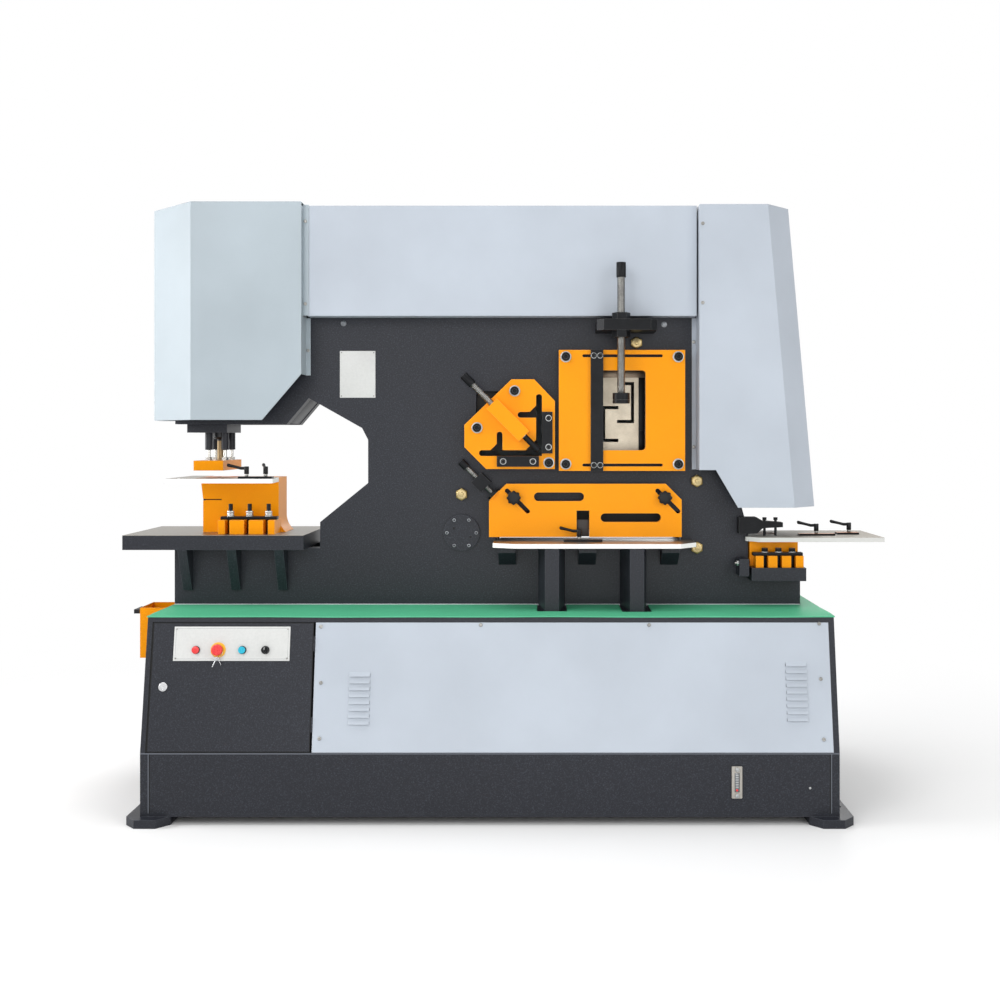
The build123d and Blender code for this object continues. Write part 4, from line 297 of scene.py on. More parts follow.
def repeat(name, pattern, places):
    """Copies a pattern to each place, each copy with its own mesh, and joins the copies."""
    copies = []
    for place in places:
        copy = pattern.copy()
        copy.data = pattern.data.copy()
        copy.data.transform(place)
        bpy.context.scene.collection.objects.link(copy)
        copies.append(copy)
    bpy.data.objects.remove(pattern)
    return join(name, copies)


def face_outwards():
    """Turns the faces of the active piece outwards."""
    bpy.ops.object.mode_set(mode="EDIT")
    bpy.ops.mesh.select_all(action="SELECT")
    bpy.ops.mesh.normals_make_consistent(inside=False)
    bpy.ops.object.mode_set(mode="OBJECT")


# Joint sealant: pale and dull, in small beads.
pale_sealant = moulded("pale joint sealant", "#C9CED2", 0.55)
bead_radius, bead_pitch, bead_count = 4.4, 6, 399
seam_left, seam_y, seam_z = -1222, -141, 717.5
bead = start("uv_sphere", segments=10, ring_count=6, radius=bead_radius * mm,
             location=(seam_left * mm, seam_y * mm, seam_z * mm))
bpy.ops.object.transform_apply(location=True)
bead.data.materials.append(pale_sealant)
modify(bead, "ARRAY", count=bead_count, use_relative_offset=False, use_constant_offset=True,
       constant_offset_displace=(bead_pitch * mm, 0, 0))
seam = repeat("foot_seam", join("bead", [bead]), [Matrix.Identity(4), Matrix.Scale(-1, 4, (0, 1, 0))])
face_outwards()
fit(seam, "frame")

# The throat strip: a flat steel strip, welded in between the side plates under the punch head and
# painted with them.
strip_low, strip_high = (-796, 1409), (-711, 1509)
strip_run, strip_rise = strip_high[0] - strip_low[0], strip_high[1] - strip_low[1]
strip_inset, strip_half, strip_deep = 2, 89.5, 18
strip_end = hypot(strip_run, strip_rise) - strip_inset
strip_bar = slab((strip_inset, -strip_half, strip_inset), (strip_end, strip_half, strip_deep),
                 charcoal_paint, 0.6)
strip = repeat("throat_strip", join("strip", [strip_bar]), [
    at(strip_low[0], 0, strip_low[1]) @ Matrix.Rotation(-atan2(strip_rise, strip_run), 4, "Y")])
fit(strip, "frame")

# The front panel and the hoods: folded steel sheet, screwed to the base and the frame. The switchgear's
# panel inside the base has the same coat, and a flange of the left hood laps over the beam cover.
cover_face, flange_thick = -208.6, 3
# Grey powder coat: even in colour, with a faint orange peel. The left hood is a little cooler.
powder_grain = {"grain_mm": 2.2, "depth_mm": 0.12, "rough": 0.36, "fleck_share": 0.5, "edge_share": 0.5}
grey_powder = sprayed_paint("grey powder coat on sheet steel", "#B6BEC8", "#BFC6D0", "#DDE2E8",
                            **powder_grain)
cool_powder = sprayed_paint("cooler grey powder coat", "#A7B2B9", "#AFBAC1", "#D6DDE2", **powder_grain)
dress(grey_powder, "front_panel", "right_hood", "beam_cover", "electrical_panel")
dress(cool_powder, "left_hood")
flange = join("hood_flange", [
    slab((-719.6, cover_face, 1818), (-697, cover_face + flange_thick, 2236), cool_powder, 0.5)])
fit(flange, "frame")


# The panel screws: turned button heads with a hexagon socket, along the edges of the front panel and
# of the two hoods.
def bare_metal(name, colour, dark, rough, scratch_mm, run, wear, edge, metallic=1.0, specular=0.5):
    """A bare or blued metal, with tool marks scratch_mm apart that are long along the axes in run."""
    material, shader, place = new_finish(name)
    normal, mask = worn_edges(material, radius_mm=1.2)
    cloud_mm, stretch = 60, 25
    turned = add_node(material, "ShaderNodeMapping", {
        "Vector": place, "Scale": [1 / stretch if axis in run else 1.0 for axis in "XYZ"]})
    marks = add_node(material, "ShaderNodeTexNoise", {
        "Vector": turned.outputs["Vector"], "Scale": per_mm(scratch_mm), "Detail": 2.0})
    cloud = add_node(material, "ShaderNodeTexNoise", {
        "Vector": place, "Scale": per_mm(cloud_mm), "Detail": 5.0})
    tone = add_node(material, "ShaderNodeMath", {
        0: marks.outputs["Fac"], 1: cloud.outputs["Fac"]}, operation="MULTIPLY")
    spread = add_node(material, "ShaderNodeMapRange", {
        "Value": tone.outputs[0], "From Min": 0.12, "From Max": 0.4})
    body = add_node(material, "ShaderNodeMix", {
        "Factor": spread.outputs["Result"], "A": linear(dark), "B": linear(colour)}, data_type="RGBA")
    bared = add_node(material, "ShaderNodeMath", {0: mask, 1: wear}, operation="MULTIPLY")
    edged = add_node(material, "ShaderNodeMix", {
        "Factor": bared.outputs[0], "A": body.outputs["Result"], "B": linear(edge)}, data_type="RGBA")
    gloss = add_node(material, "ShaderNodeMapRange", {
        "Value": marks.outputs["Fac"], "To Min": rough - 0.1, "To Max": rough + 0.12})
    relief = add_node(material, "ShaderNodeBump", {
        "Height": marks.outputs["Fac"], "Distance": 0.04 * mm, "Strength": 0.5, "Normal": normal})
    for socket, output in (("Base Color", edged.outputs["Result"]), ("Roughness", gloss.outputs["Result"]),
                           ("Normal", relief.outputs["Normal"])):
        material.node_tree.links.new(output, shader.inputs[socket])
    shader.inputs["Metallic"].default_value = metallic
    shader.inputs["Specular IOR Level"].default_value = specular
    return material


def rod(radius, low, high, finish, edge=0.8, sides=40, centre=(0, 0)):
    """A turned rod along Z between two heights in millimetres, with broken edges."""
    piece = start("cylinder", vertices=sides, radius=radius * mm, depth=(high - low) * mm,
                  location=(centre[0] * mm, centre[1] * mm, (low + high) / 2 * mm))
    bpy.ops.object.transform_apply(location=True, rotation=True, scale=True)
    if edge:
        modify(piece, "BEVEL", width=edge * mm, segments=2, limit_method="ANGLE", angle_limit=radians(50))
    piece.data.materials.append(finish)
    return piece


def cap_head(radius, height, finish, base=0.0):
    """A socket head: a turned head with a hexagon socket in its top."""
    head = rod(radius, base, base + height, finish, 1.0)
    socket_share, floor_share = 0.56, 0.45
    key = rod(radius * socket_share, base + height * floor_share, base + height + 3, finish, 0.0, 6)
    cut(head, key)
    return head


def on_front(x, y, z):
    """The place of a piece whose Z axis points at the operator."""
    return at(x, y, z) @ Matrix.Rotation(radians(90), 4, "X")


slope_low, slope_rise, slope_back = 254, 461, 80
lean = atan2(slope_rise, slope_back)


def on_slope(u, v, w=0.0):
    """The place of a piece on the sloping front, u along it, v up it and w out of it."""
    y = front_face + v * cos(lean) - w * sin(lean)
    z = slope_low + v * sin(lean) + w * cos(lean)
    return at(u, y, z) @ Matrix.Rotation(lean, 4, "X")


# Turned steel: fine rings from the lathe, grey with bright edges. Tool marks are too fine to show in the
# render, so they are drawn coarser, here and on the other metals.
turned_steel = bare_metal("turned steel", "#A7A6A2", "#6D6C69", rough=0.3, scratch_mm=0.5, run="XY",
                          wear=0.4, edge="#DADADA")
panel_places = [on_slope(u, v) for u, v in (
    (-606.1, 436), (-599.4, 239.9), (-598.2, 48.8), (-36.3, 441.6), (564.3, 441.6), (1171.2, 446.2),
    (1169, 253.1), (1171.1, 45.4))]
hood_face, right_hood_face = -142.5, -235
hood_places = [on_front(x, y, z) for x, y, z in (
    (-713.2, hood_face, 1690.8), (-710, cover_face, 2173), (-710, cover_face, 1862),
    (784.7, right_hood_face, 2160.3), (784.7, right_hood_face, 1863.2), (763, hood_face, 1723.7),
    (763, hood_face, 1321.7))]
panel_screws = repeat("panel_screws", join("screw", [cap_head(6.6, 3.6, turned_steel)]),
                      panel_places + hood_places)
fit(panel_screws, "frame")

# The oil gauge: a plated body on the plinth with a sight glass in a slot, white scale marks and a red
# float behind the glass, held by two hexagon bolts.
gauge_half, gauge_rise, slot_half, slot_rise, glass_gap = 18.5, 56, 9, 34, 0.6
# Satin plating is even with a soft shine, the glass is dark and glossy, anodised aluminium is a dull
# white, red plastic is clear in colour, and zinc is bright with paler edges.
plated_body = moulded("satin-plated gauge body", "#A9A59D", 0.4)
sight_glass = moulded("grey sight glass", "#6C7074", 0.12)
white_anodised = moulded("white anodised aluminium", "#D2D3D1", 0.34)
red_plastic = moulded("red moulded plastic", "#E0393A", 0.28)
bright_zinc = bare_metal("bright zinc plating", "#BFC1C0", "#8E9090", rough=0.3, scratch_mm=1.0, run="",
                         wear=0.3, edge="#FFFFFF", metallic=0.75)
dress(plated_body, "oil_gauge")
gauge = slab((-gauge_half, -gauge_rise, 0), (gauge_half, gauge_rise, 8), plated_body, 2.5)
cut(gauge, slab((-slot_half, -slot_rise, 3), (slot_half, slot_rise, 12), plated_body, 0.0))
glass_half, glass_rise = slot_half - glass_gap, slot_rise - glass_gap
gauge_parts = [
    gauge, slab((-glass_half, -glass_rise, 2.5), (glass_half, glass_rise, 5.5), sight_glass, 0.6)]
mark = slab((-5, -0.9, 5.2), (5, 0.9, 6), white_anodised, 0.0)
gauge_parts.append(repeat("marks", mark, [at(0, v) for v in range(-18, 32, 6)]))
gauge_parts.append(rod(4.4, 5.2, 6.4, red_plastic, 0.4, 24, (0, -27)))
gauge_parts.append(repeat("bolts", rod(8, 8, 14, bright_zinc, 0.8, 6), [at(0, v) for v in (-46, 46)]))
oil_level = repeat("oil_level_gauge", join("gauge", gauge_parts), [on_front(864.5, front_face, 152)])
fit(oil_level, "frame")
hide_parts("oil_gauge")

# The plinth screw: one small zinc-plated socket screw in the front of the oil tank, beside the gauge,
# screwed down on the paint.
plinth_screw = repeat("plinth_screw", join("screw", [cap_head(4.2, 2.6, bright_zinc)]), [
    on_front(1121, front_face, 131)])
fit(plinth_screw, "frame")


# The control plate: an anodised sheet, screwed on the door, with a printed border line. It carries a
# black bezel for each device, the red pilot lamp and the yellow disc of the emergency stop.
def pick_faces(piece, test):
    """Selects the faces of a piece that pass a test, and leaves the piece in edit mode."""
    bpy.context.tool_settings.mesh_select_mode = (False, False, True)
    bpy.ops.object.mode_set(mode="EDIT")
    bpy.ops.mesh.select_all(action="DESELECT")
    bpy.ops.object.mode_set(mode="OBJECT")
    for face in piece.data.polygons:
        face.select = test(face)
    bpy.ops.object.mode_set(mode="EDIT")


def outline(piece, inward, line, finish):
    """Draws a printed line on the top of a slab, inward from its edge."""
    pick_faces(piece, lambda face: face.normal.z > 0.99)
    bpy.ops.mesh.inset(thickness=inward * mm)
    bpy.ops.mesh.inset(thickness=line * mm)
    bpy.ops.object.mode_set(mode="OBJECT")
    piece.data.materials.append(finish)
    top = [face for face in piece.data.polygons if face.normal.z > 0.99 and not face.select]
    for face in sorted(top, key=lambda ring: ring.area)[:4]:
        face.material_index = 1


# The print is flat and grey, phenolic is a deep black, and the yellow plastic is a warm signal colour.
border_print = moulded("grey border print", "#8E9296", 0.5)
black_phenolic = moulded("black moulded phenolic", "#141517", 0.3, specular=0.2)
yellow_plastic = moulded("yellow moulded plastic", "#F2B416", 0.34)
dress(white_anodised, "control_panel")
panel_half, panel_rise, device_v, stem_hole = 206.5, 60, -22, 9.4
panel = slab((-panel_half, -panel_rise, 0), (panel_half, panel_rise, 2), white_anodised, 0.4)
outline(panel, 6.0, 0.9, border_print)
panel_parts = [panel]
for device, u in (("lamp", -126.5), ("stop", -47.5), ("button", 38.5), ("selector", 120.5)):
    centre = (u, device_v)
    tube = rod(10.4, -34, 1.9, black_phenolic, 0.6, 32, centre)
    bezel = rod(14.5, 2, 7, black_phenolic, 1.2, 40, centre)
    if device == "stop":
        disc = rod(27, 2, 3.5, yellow_plastic, 0.5, 56, centre)
        cut(disc, rod(14.4, 0, 8, yellow_plastic, 0.0, 40, centre))
        panel_parts.append(disc)
    if device == "lamp":
        panel_parts.append(rod(13.5, 6.5, 14, red_plastic, 5.0, 40, centre))
    else:
        cut(bezel, rod(stem_hole, 0, 9, black_phenolic, 0.0, 40, centre))
        cut(tube, rod(stem_hole, -30, 9, black_phenolic, 0.0, 40, centre))
    panel_parts += [tube, bezel]
panel_parts.append(repeat("screws", cap_head(3.2, 1.8, turned_steel, 1.9), [
    at(u, v) for u in (-198, 198) for v in (-51.5, 51.5)]))
control_plate = repeat("control_plate", join("panel", panel_parts), [on_slope(-920.5, 376)])
fit(control_plate, "door")
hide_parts("control_panel")

# The devices and the lock: moulded buttons that push in, a black selector with a white line on its
# grip, and a chromed lock barrel in the door.
dress(red_plastic, "emergency_stop")
# Plastic is clear in colour and softly glossy, chrome mirrors, and black oxide has a dull metal sheen.
blue_plastic = moulded("blue moulded plastic", "#1FB0CC", 0.28)
chromed = bare_metal("chromed brass", "#E6E7E8", "#C4C6C8", rough=0.16, scratch_mm=2.0, run="", wear=0.2,
                     edge="#FFFFFF")
black_oxide = bare_metal("black oxide on steel", "#1B1C1F", "#0F1012", rough=0.36, scratch_mm=0.6, run="X",
                         wear=0.5, edge="#8A8A88", metallic=0.35, specular=0.2)
dress(blue_plastic, "push_button")
dress(black_oxide, "selector_knob")
dress(chromed, "door_lock")
pointer = repeat("selector_pointer", join("pointer", [slab((-1, 1, 0), (1, 10, 0.4), white_anodised, 0.1)]),
                 [on_slope(-800, 354, 24)])
fit(pointer, "selector_knob")

# The keys: two chromed keys on a split ring of wire, left hanging on the stem of the emergency stop.
# Each has a round bow with a hole and a flat blade with four notches.
ring = start("torus", major_segments=48, minor_segments=10, major_radius=18 * mm, minor_radius=0.7 * mm)
ring.data.materials.append(chromed)
ring_parts = [ring]
for turn, twist, length in ((-24, 40, 25), (32, -48, 18)):
    bow = rod(7.5, -0.9, 0.9, chromed, 0.5, 28, (0, -5))
    cut(bow, rod(2.6, -3, 3, chromed, 0.0, 20, (0, -1)))
    blade = slab((-2.0, -12 - length, -0.8), (2.0, -10, 0.8), chromed, 0.3)
    for notch in range(4):
        notch_end = -14 - length * (0.35 + 0.17 * notch)
        cut(blade, slab((1.0, notch_end, -2), (3.0, notch_end + 1.8, 2), chromed, 0.0))
    key = join("key", [bow, blade])
    key.data.transform(at(0, -17.4, 2.4) @ Matrix.Rotation(radians(turn), 4, "Z")
                       @ Matrix.Rotation(radians(twist), 4, "Y"))
    ring_parts.append(key)
keys = repeat("key_ring", join("ring", ring_parts), [on_slope(-968, 345.65, 13.2)])
fit(keys, "emergency_stop")

# The screws of the frame: six cap screws round the pivot cap, with two thin black discs beside them as
# painted shade in two jacking holes, and two larger screws with washers below the beam cover.
side_face, cap_face = -140, -150
pivot_x, pivot_z, screw_circle = -125, 994, 56
# Blued steel: a cool grey, darker than turned steel, with little shine on its edges.
blued_steel = bare_metal("blued steel", "#8E9195", "#5E6165", rough=0.35, scratch_mm=1.0, run="", wear=0.2,
                         edge="#B4B6B8")
cap_screws = repeat("pivot_cap_screws", join("screw", [cap_head(6.8, 5.0, blued_steel)]), [
    on_front(pivot_x + screw_circle * cos(turn), cap_face, pivot_z + screw_circle * sin(turn))
    for turn in [k * pi / 3 for k in range(6)]])
fit(cap_screws, "frame")
jack_hole_shade = repeat("pivot_cap_shade_discs", join("hole", [rod(4.6, 0, 0.6, black_phenolic, 0.0, 24)]), [
    on_front(-155, cap_face, 1011), on_front(-91, cap_face, 978)])
fit(jack_hole_shade, "frame")
frame_screws = repeat("frame_screws", join("screw", [
    cap_head(8, 6, blued_steel, 2.0), rod(11, 0, 2, blued_steel, 0.4)]), [
    on_front(-578, side_face, 1795), on_front(650, side_face, 1791)])
fit(frame_screws, "frame")

# The guide adjusters: hexagon nuts with a machined round face, on a washer and a slotted stud, which
# set the beam's guides through the front plate.
adjuster_places = [(-125, 1141), (774, 1192), (774, 937), (543, 1720)]
# Yellow passivated zinc: pale brass in colour, browner on the flats of the nuts.
yellow_zinc = bare_metal("yellow passivated zinc", "#C4B388", "#957F52", rough=0.34, scratch_mm=1.5, run="",
                         wear=0.5, edge="#F2E3B0")
aged_zinc = bare_metal("yellow zinc, dulled on the flats", "#94804F", "#6A5530", rough=0.34, scratch_mm=1.5,
                       run="", wear=0.6, edge="#F2E3B0")
dress(yellow_zinc, "guide_adjusters")
stud = rod(8, 16, 28, yellow_zinc, 1.0, 28)
cut(stud, slab((-10, -1, 25), (10, 1, 30), yellow_zinc, 0.0))
nut = join("nut", [rod(24, 3, 17, aged_zinc, 1.4, 6), rod(18, 16, 18.2, yellow_zinc, 0.6),
                   rod(20, 0, 3, yellow_zinc, 0.6), stud])
adjusters = repeat("guide_adjuster_nuts", nut, [
    on_front(x, side_face, z) for x, z in adjuster_places])
fit(adjusters, "frame")
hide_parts("guide_adjusters")

# The data plate: a blank anodised plate, riveted to the frame at its corners, with nothing printed
# on it.
plate_parts = [slab((-68, -89.5, 0), (68, 89.5, 1), white_anodised, 0.3),
               repeat("rivets", rod(2.6, 1, 2.2, turned_steel, 0.8, 16), [
                   at(u, v) for u in (-62, 62) for v in (-83, 83)])]
data_plate = repeat("blank_data_plate", join("plate", plate_parts), [on_front(-524, side_face, 1600)])
fit(data_plate, "frame")

# The blades: hardened tool steel, ground on their faces and screwed in the frame and the beam. Thin sheets
# lie on the section blade in its window: a grey-brown painted shadow along the top, a black strip of
# painted shade down the right side, and a black block at that strip's foot.
window_strip_front, window_strip_back = -93, -90.2
# Ground steel has a fine pale lay. At the angle and flat-bar blades it is painted dark, as painted shade
# inside the frame. The upper strip in the section window is a grey-brown painted shadow, which the
# hold-down plate casts on the blade.
ground_steel = bare_metal("surface-ground tool steel", "#CFC6B4", "#ABA292", rough=0.46, scratch_mm=0.5,
                          run="X", wear=0.4, edge="#F0EBE0")
frame_shade = {"colour": "#2C2A28", "rough": 0.5, "metal": 0.4}
shaded_blades = partly("ground steel with painted shade at the angle blades", ground_steel, {"X": (-110, 225)},
                      **frame_shade)
dress(partly("ground steel, oiled dark at the flat blades", shaded_blades, {"Z": (700, 1160)}, **frame_shade),
      "fixed_blades", "beam_blades")
shadow_brown = bare_metal("grey-brown painted shadow on ground steel", "#968878", "#6E6255", rough=0.4, scratch_mm=1.0, run="X",
                     wear=0.4, edge="#B8AA98")
# The top strip is a thin sheet of painted shadow, the right strip a black sheet of painted shade at the
# window's side, and a black block stands at its foot.
window_strips = join("section_window_strips", [
    slab((400, window_strip_front, 1590), (581, window_strip_back, 1618), shadow_brown, 0.4),
    slab((556, window_strip_front, 1300), (581, window_strip_back, 1590), black_oxide, 0.4),
    slab((556, -97, 1306), (579, window_strip_front, 1384), black_oxide, 0.6)])
fit(window_strips, "frame")

# The punching station: a turned ram with a blued holder and the punch, a stripper on studs, a bed with
# a bolster that holds the die, and a bin for the slugs on the end of the base.
bed_top, bolster_top, holder_low = 990, 1203, 1345
# Orange enamel: a warm gloss coat over milled steel, thin and pale on the edges, with bare steel where
# a stud, the die or the bed shows.
orange_enamel = sprayed_paint(
    "orange gloss enamel on milled steel", "#F79A00", "#FFA50C", "#FFCE7E",
    grain_mm=3.0, depth_mm=0.08, rough=0.32, fleck_share=0.6, edge_share=0.8, specular=0.14)
dress(partly("charcoal paint with a bare bed", charcoal_paint, {"Z": (bed_top - 1, bed_top + 1)},
             "#8A857C", rough=0.36, metal=0.9), "punch_bed")
dress(partly("orange enamel with bare studs", orange_enamel, {"Z": (1269.5, 1330)},
             "#C9C7C2", rough=0.25, metal=1.0), "stripper")
grooved = partly("orange enamel with a shaded groove", orange_enamel,
                 {"X": (-1140, -1066), "Z": (1114.5, 1119)}, "#4E2A0B", rough=0.6, metal=0.0)
dress(partly("orange enamel round a bare die", grooved,
             {"X": (-1127, -1053), "Y": (-37, 37), "Z": (bolster_top - 2, bolster_top + 1)},
             "#BDB9B0", rough=0.3, metal=1.0), "die_bolster")
dress(partly("orange enamel with a black grip", orange_enamel, {"X": (-1420, -1365.5)},
             "#26272A", rough=0.4, metal=0.0), "slug_bin")
punch_holder = partly("turned steel with a blued holder", turned_steel, {"Z": (holder_low, 1500)},
                      "#202125", rough=0.4, metal=0.2)
dress(partly("turned steel with a bronze-coloured punch", punch_holder, {"Z": (1200, holder_low)},
             "#8F7B5E", rough=0.42, metal=1.0), "punch_ram")
dress(turned_steel, "shear_rod")

# The bolster key: a blued steel strip with broken edges, driven in the groove in the left end of the
# die bolster.
key_strip = join("bolster_key", [slab((-1137.6, -66, 1113.3), (-1128.2, 66, 1118.7), black_oxide, 0.3)])
fit(key_strip, "frame")

# The work tables: milled plates, bare on top and painted on their edges, bolted in front of the punch,
# the flat-bar shear and the notcher.
table_thick, bare_film = 20, 0.6
# Milled steel has a fine lay along the plate, and oil dulls it at the notcher.
milled_steel = bare_metal("milled steel plate", "#B4AEA5", "#8E887E", rough=0.36, scratch_mm=1.4, run="X",
                          wear=0.9, edge="#FFFFFF")
dulled_steel = moulded("milled steel plate, dulled by oil", "#AAA49B", 0.66, specular=0.12)
for table, top, finish, edge in (("punch_table", 1203, milled_steel, "#F6F6F4"),
                                 ("shear_table", 968, milled_steel, "#F6F6F4"),
                                 ("notch_table", 980, dulled_steel, "#D3D3D0")):
    dress(partly(f"milled steel with painted edges, {table}", finish, {
        "Z": (top - table_thick, top - bare_film)}, edge, rough=0.4, metal=0.0), table)

# The fences and brackets: flat steel bars on the tables and the frame, blued in hot salt, so they are
# black with bare edges. The two notching slides are worn brown on top by the sheet.
dress(black_oxide, "punch_fence", "shear_fence", "section_fence", "frame_brackets", "section_foot",
      "angle_pad", "notch_arm")
slide_top = 988
dress(partly("blued steel, worn brown on top", black_oxide, {"Z": (slide_top - 0.6, slide_top + 1)},
             "#8A5A36", rough=0.5, metal=0.5), "first_notch_slide", "second_notch_slide")

# The foot clamps: a blued flat bar across each slotted foot, held by studs with bright nuts at the
# punch and by hexagon bolts at the notcher.
dress(black_oxide, "foot_clamps")
punch_y, punch_bar_top, notch_y, notch_bar_top = -119, 1055, -179, 923
bar_half, bar_thick = 17, 12
punch_bar = slab((-1051, punch_y - bar_half, punch_bar_top - bar_thick),
                 (-835, punch_y + bar_half, punch_bar_top), black_oxide, 1.0)
notch_bar = slab((981, notch_y - bar_half, notch_bar_top - bar_thick),
                 (1169, notch_y + bar_half, notch_bar_top), black_oxide, 1.0)
punch_stud = join("stud", [
    rod(8, bed_top, 1103, black_oxide, 1.0, 28), rod(15.5, punch_bar_top, 1057.5, bright_zinc, 0.5, 36),
    rod(14, 1057.5, 1067, bright_zinc, 1.0, 6), rod(14, 1067.4, 1076, bright_zinc, 1.0, 6)])
notch_bolt = join("bolt", [
    rod(8, 867, notch_bar_top - bar_thick, black_oxide, 0.6, 24),
    rod(15, notch_bar_top, 925.5, bright_zinc, 0.5, 36), rod(13, 925.5, 939, black_oxide, 1.2, 6),
    rod(10.6, 938, 939.6, turned_steel, 0.4, 28)])
clamps = join("foot_clamp_set", [
    punch_bar, notch_bar, repeat("studs", punch_stud, [at(x, punch_y) for x in (-1016, -943, -870)]),
    repeat("bolts", notch_bolt, [at(x, notch_y) for x in (1027, 1079, 1131)])])
fit(clamps, "frame")
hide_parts("foot_clamps")

# The hold-downs and the notching die: milled steel plates in orange enamel. Socket head screws on zinc
# washers hold the plates, each with a turned spacer tube behind it.
dress(orange_enamel, "angle_hold_down", "angle_housing", "section_hold_down", "flat_hold_down", "notch_die")
dress(black_oxide, "hold_down_bolts")
plate_face = -200
bolt_places = [(79, 1534), (-63, 1395), (208, 1263), (272, 1258), (272, 1663), (697, 1258), (697, 1663)]
bolt = join("bolt", [cap_head(16.5, 16, black_oxide, 3.0), rod(21, 0, 3, bright_zinc, 0.6),
                     rod(27, -60, -22, charcoal_paint, 1.5)])
bolts = repeat("hold_down_cap_screws", bolt, [on_front(x, plate_face, z) for x, z in bolt_places])
fit(bolts, "frame")
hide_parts("hold_down_bolts")


# The washers under the smaller cap screws: punched zinc-plated rings round the heads on the guide
# blocks and on the sliding fence of the section station.
def washer(radius):
    """A flat ring with broken edges round a screw head."""
    ring = rod(radius, 0, 1.6, bright_zinc, 0.4)
    cut(ring, rod(9.1, -2, 4, bright_zinc, 0.0))
    return join("washer", [ring])


guide_face, fence_face = -214, -212
guide_washers = repeat("guide_block_washers", washer(12.2), [
    on_front(x, guide_face, z) for x, z in ((207, 1322), (207, 1431), (36, 1268), (148, 1268))])
fit(guide_washers, "frame")
fence_washers = repeat("fence_washers", washer(11.2), [
    on_front(x, fence_face, z) for x in (377.5, 401.5) for z in (1667, 1254)])
fit(fence_washers, "section_fence")

# The notch pad: a dark, nearly black sheet, set in the lower half of the flat-bar hold-down's notch. It is
# dull, and stands as painted shade in the notch.
notch_shade = moulded("nearly black painted shade in the notch", "#2B2420", 0.5)
pad = join("notch_shade_pad", [slab((313.6, -188, 983.5), (360.4, -180, 1047), notch_shade, 0.8)])
fit(pad, "flat_hold_down")


# The feed screws: drawn steel rods with a cut thread, each with a blued sleeve as its grip. The section
# screw stands upright, the angle screw and the stop screw lie on a diagonal.
def thread(radius, pitch, low, high, finish):
    """A threaded rod along Z: one tooth's profile swept round as a helix, on a closed core."""
    piece = start("circle", vertices=3, radius=1 * mm, fill_type="NOTHING")
    depth_share, crest_low, crest_high = 0.55, 0.4, 0.6
    root = radius - depth_share * pitch
    tooth = ((root, low), (radius, low + crest_low * pitch), (radius, low + crest_high * pitch),
             (root, low + pitch))
    data = piece.data
    data.clear_geometry()
    data.from_pydata([(out * mm, 0, up * mm) for out, up in tooth], [(0, 1), (1, 2), (2, 3)], [])
    turns = int((high - low) / pitch) - 1
    modify(piece, "SCREW", axis="Z", angle=2 * pi, screw_offset=pitch * mm, iterations=turns, steps=20,
           render_steps=20, use_merge_vertices=True, merge_threshold=0.01 * mm)
    face_outwards()
    data.materials.append(finish)
    core = rod(root + 0.05, low, high, finish, 0.5, 24)
    return [piece, core]


def on_diagonal(x, y, z):
    """The place of a piece whose Z axis points down to the right."""
    return at(x, y, z) @ Matrix.Rotation(radians(135), 4, "Y")


dress(turned_steel, "section_screw", "angle_screw", "stop_screw")
stop_place = on_diagonal(-47, -189, 1189)
section_screw = repeat("section_feed_screw", join("screw", thread(15, 4.5, 1524, 1957, turned_steel) + [
    rod(18, 1954, 2010, black_oxide, 1.5, 32)]), [at(477, -262)])
fit(section_screw, "section_screw")
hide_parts("section_screw")
angle_screw = repeat("angle_feed_screw", join("screw", thread(12, 4, -190, 88, turned_steel) + [
    rod(16, -238, -188, black_oxide, 1.5, 32)]), [on_diagonal(55, -227, 1424)])
fit(angle_screw, "angle_screw")
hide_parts("angle_screw")
stop_screw = repeat("flat_stop_screw", join("screw", thread(10, 3.5, -80, 58, turned_steel) + [
    rod(15, -112, -78, black_oxide, 1.5, 32)]), [stop_place])
fit(stop_screw, "stop_screw")
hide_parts("stop_screw")

# The stop foot: a blued steel pad on the end of the flat-bar stop screw, turned with a broken edge, which
# moves with the hold-down plate.
stop_foot = repeat("stop_foot", join("foot", [rod(25.5, 58.8, 69.2, black_oxide, 1.5, 40)]), [stop_place])
fit(stop_foot, "flat_hold_down")


# The star knobs: moulded black phenolic with eight shallow lobes and a domed face, on a steel collar
# and stud, which clamp the flat-bar hold-down.
def lobed_knob(radius, low, high, finish):
    """A domed knob along Z whose rim runs in and out in eight lobes."""
    knob = start("cylinder", vertices=96, radius=radius * mm, depth=(high - low) * mm,
                 location=(0, 0, (low + high) / 2 * mm))
    bpy.ops.object.transform_apply(location=True)
    pick_faces(knob, lambda face: face.normal.z > 0.9)
    dome_steps = ((0.12, 1.2), (0.2, 1.0), (0.3, 0.6))
    for inward, rise in dome_steps:
        bpy.ops.mesh.inset(thickness=inward * radius * mm)
        bpy.ops.transform.translate(value=(0, 0, rise * mm))
    bpy.ops.object.mode_set(mode="OBJECT")
    lobes, lobe_depth = 8, 0.075
    for corner in knob.data.vertices:
        turn = atan2(corner.co.y, corner.co.x)
        outness = min(1.0, hypot(corner.co.x, corner.co.y) / (radius * mm)) ** 4
        shrink = 1 - lobe_depth * (1 - cos(lobes * turn)) * outness
        corner.co.x *= shrink
        corner.co.y *= shrink
    modify(knob, "BEVEL", width=1.5 * mm, segments=3, limit_method="ANGLE", angle_limit=radians(55))
    knob.data.materials.append(finish)
    return knob


knob_height = 1131
for side, x in (("left", 76), ("right", 645)):
    dress(black_phenolic, f"star_knob_{side}")
    knob = repeat(f"star_knob_{side}_moulded", join("knob", [
        lobed_knob(27, 8, 26, black_phenolic), rod(13, 0, 8, black_oxide, 0.8),
        rod(6, -60, 0, turned_steel, 0.5, 24)]), [on_front(x, plate_face, knob_height)])
    fit(knob, f"star_knob_{side}")
    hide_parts(f"star_knob_{side}")

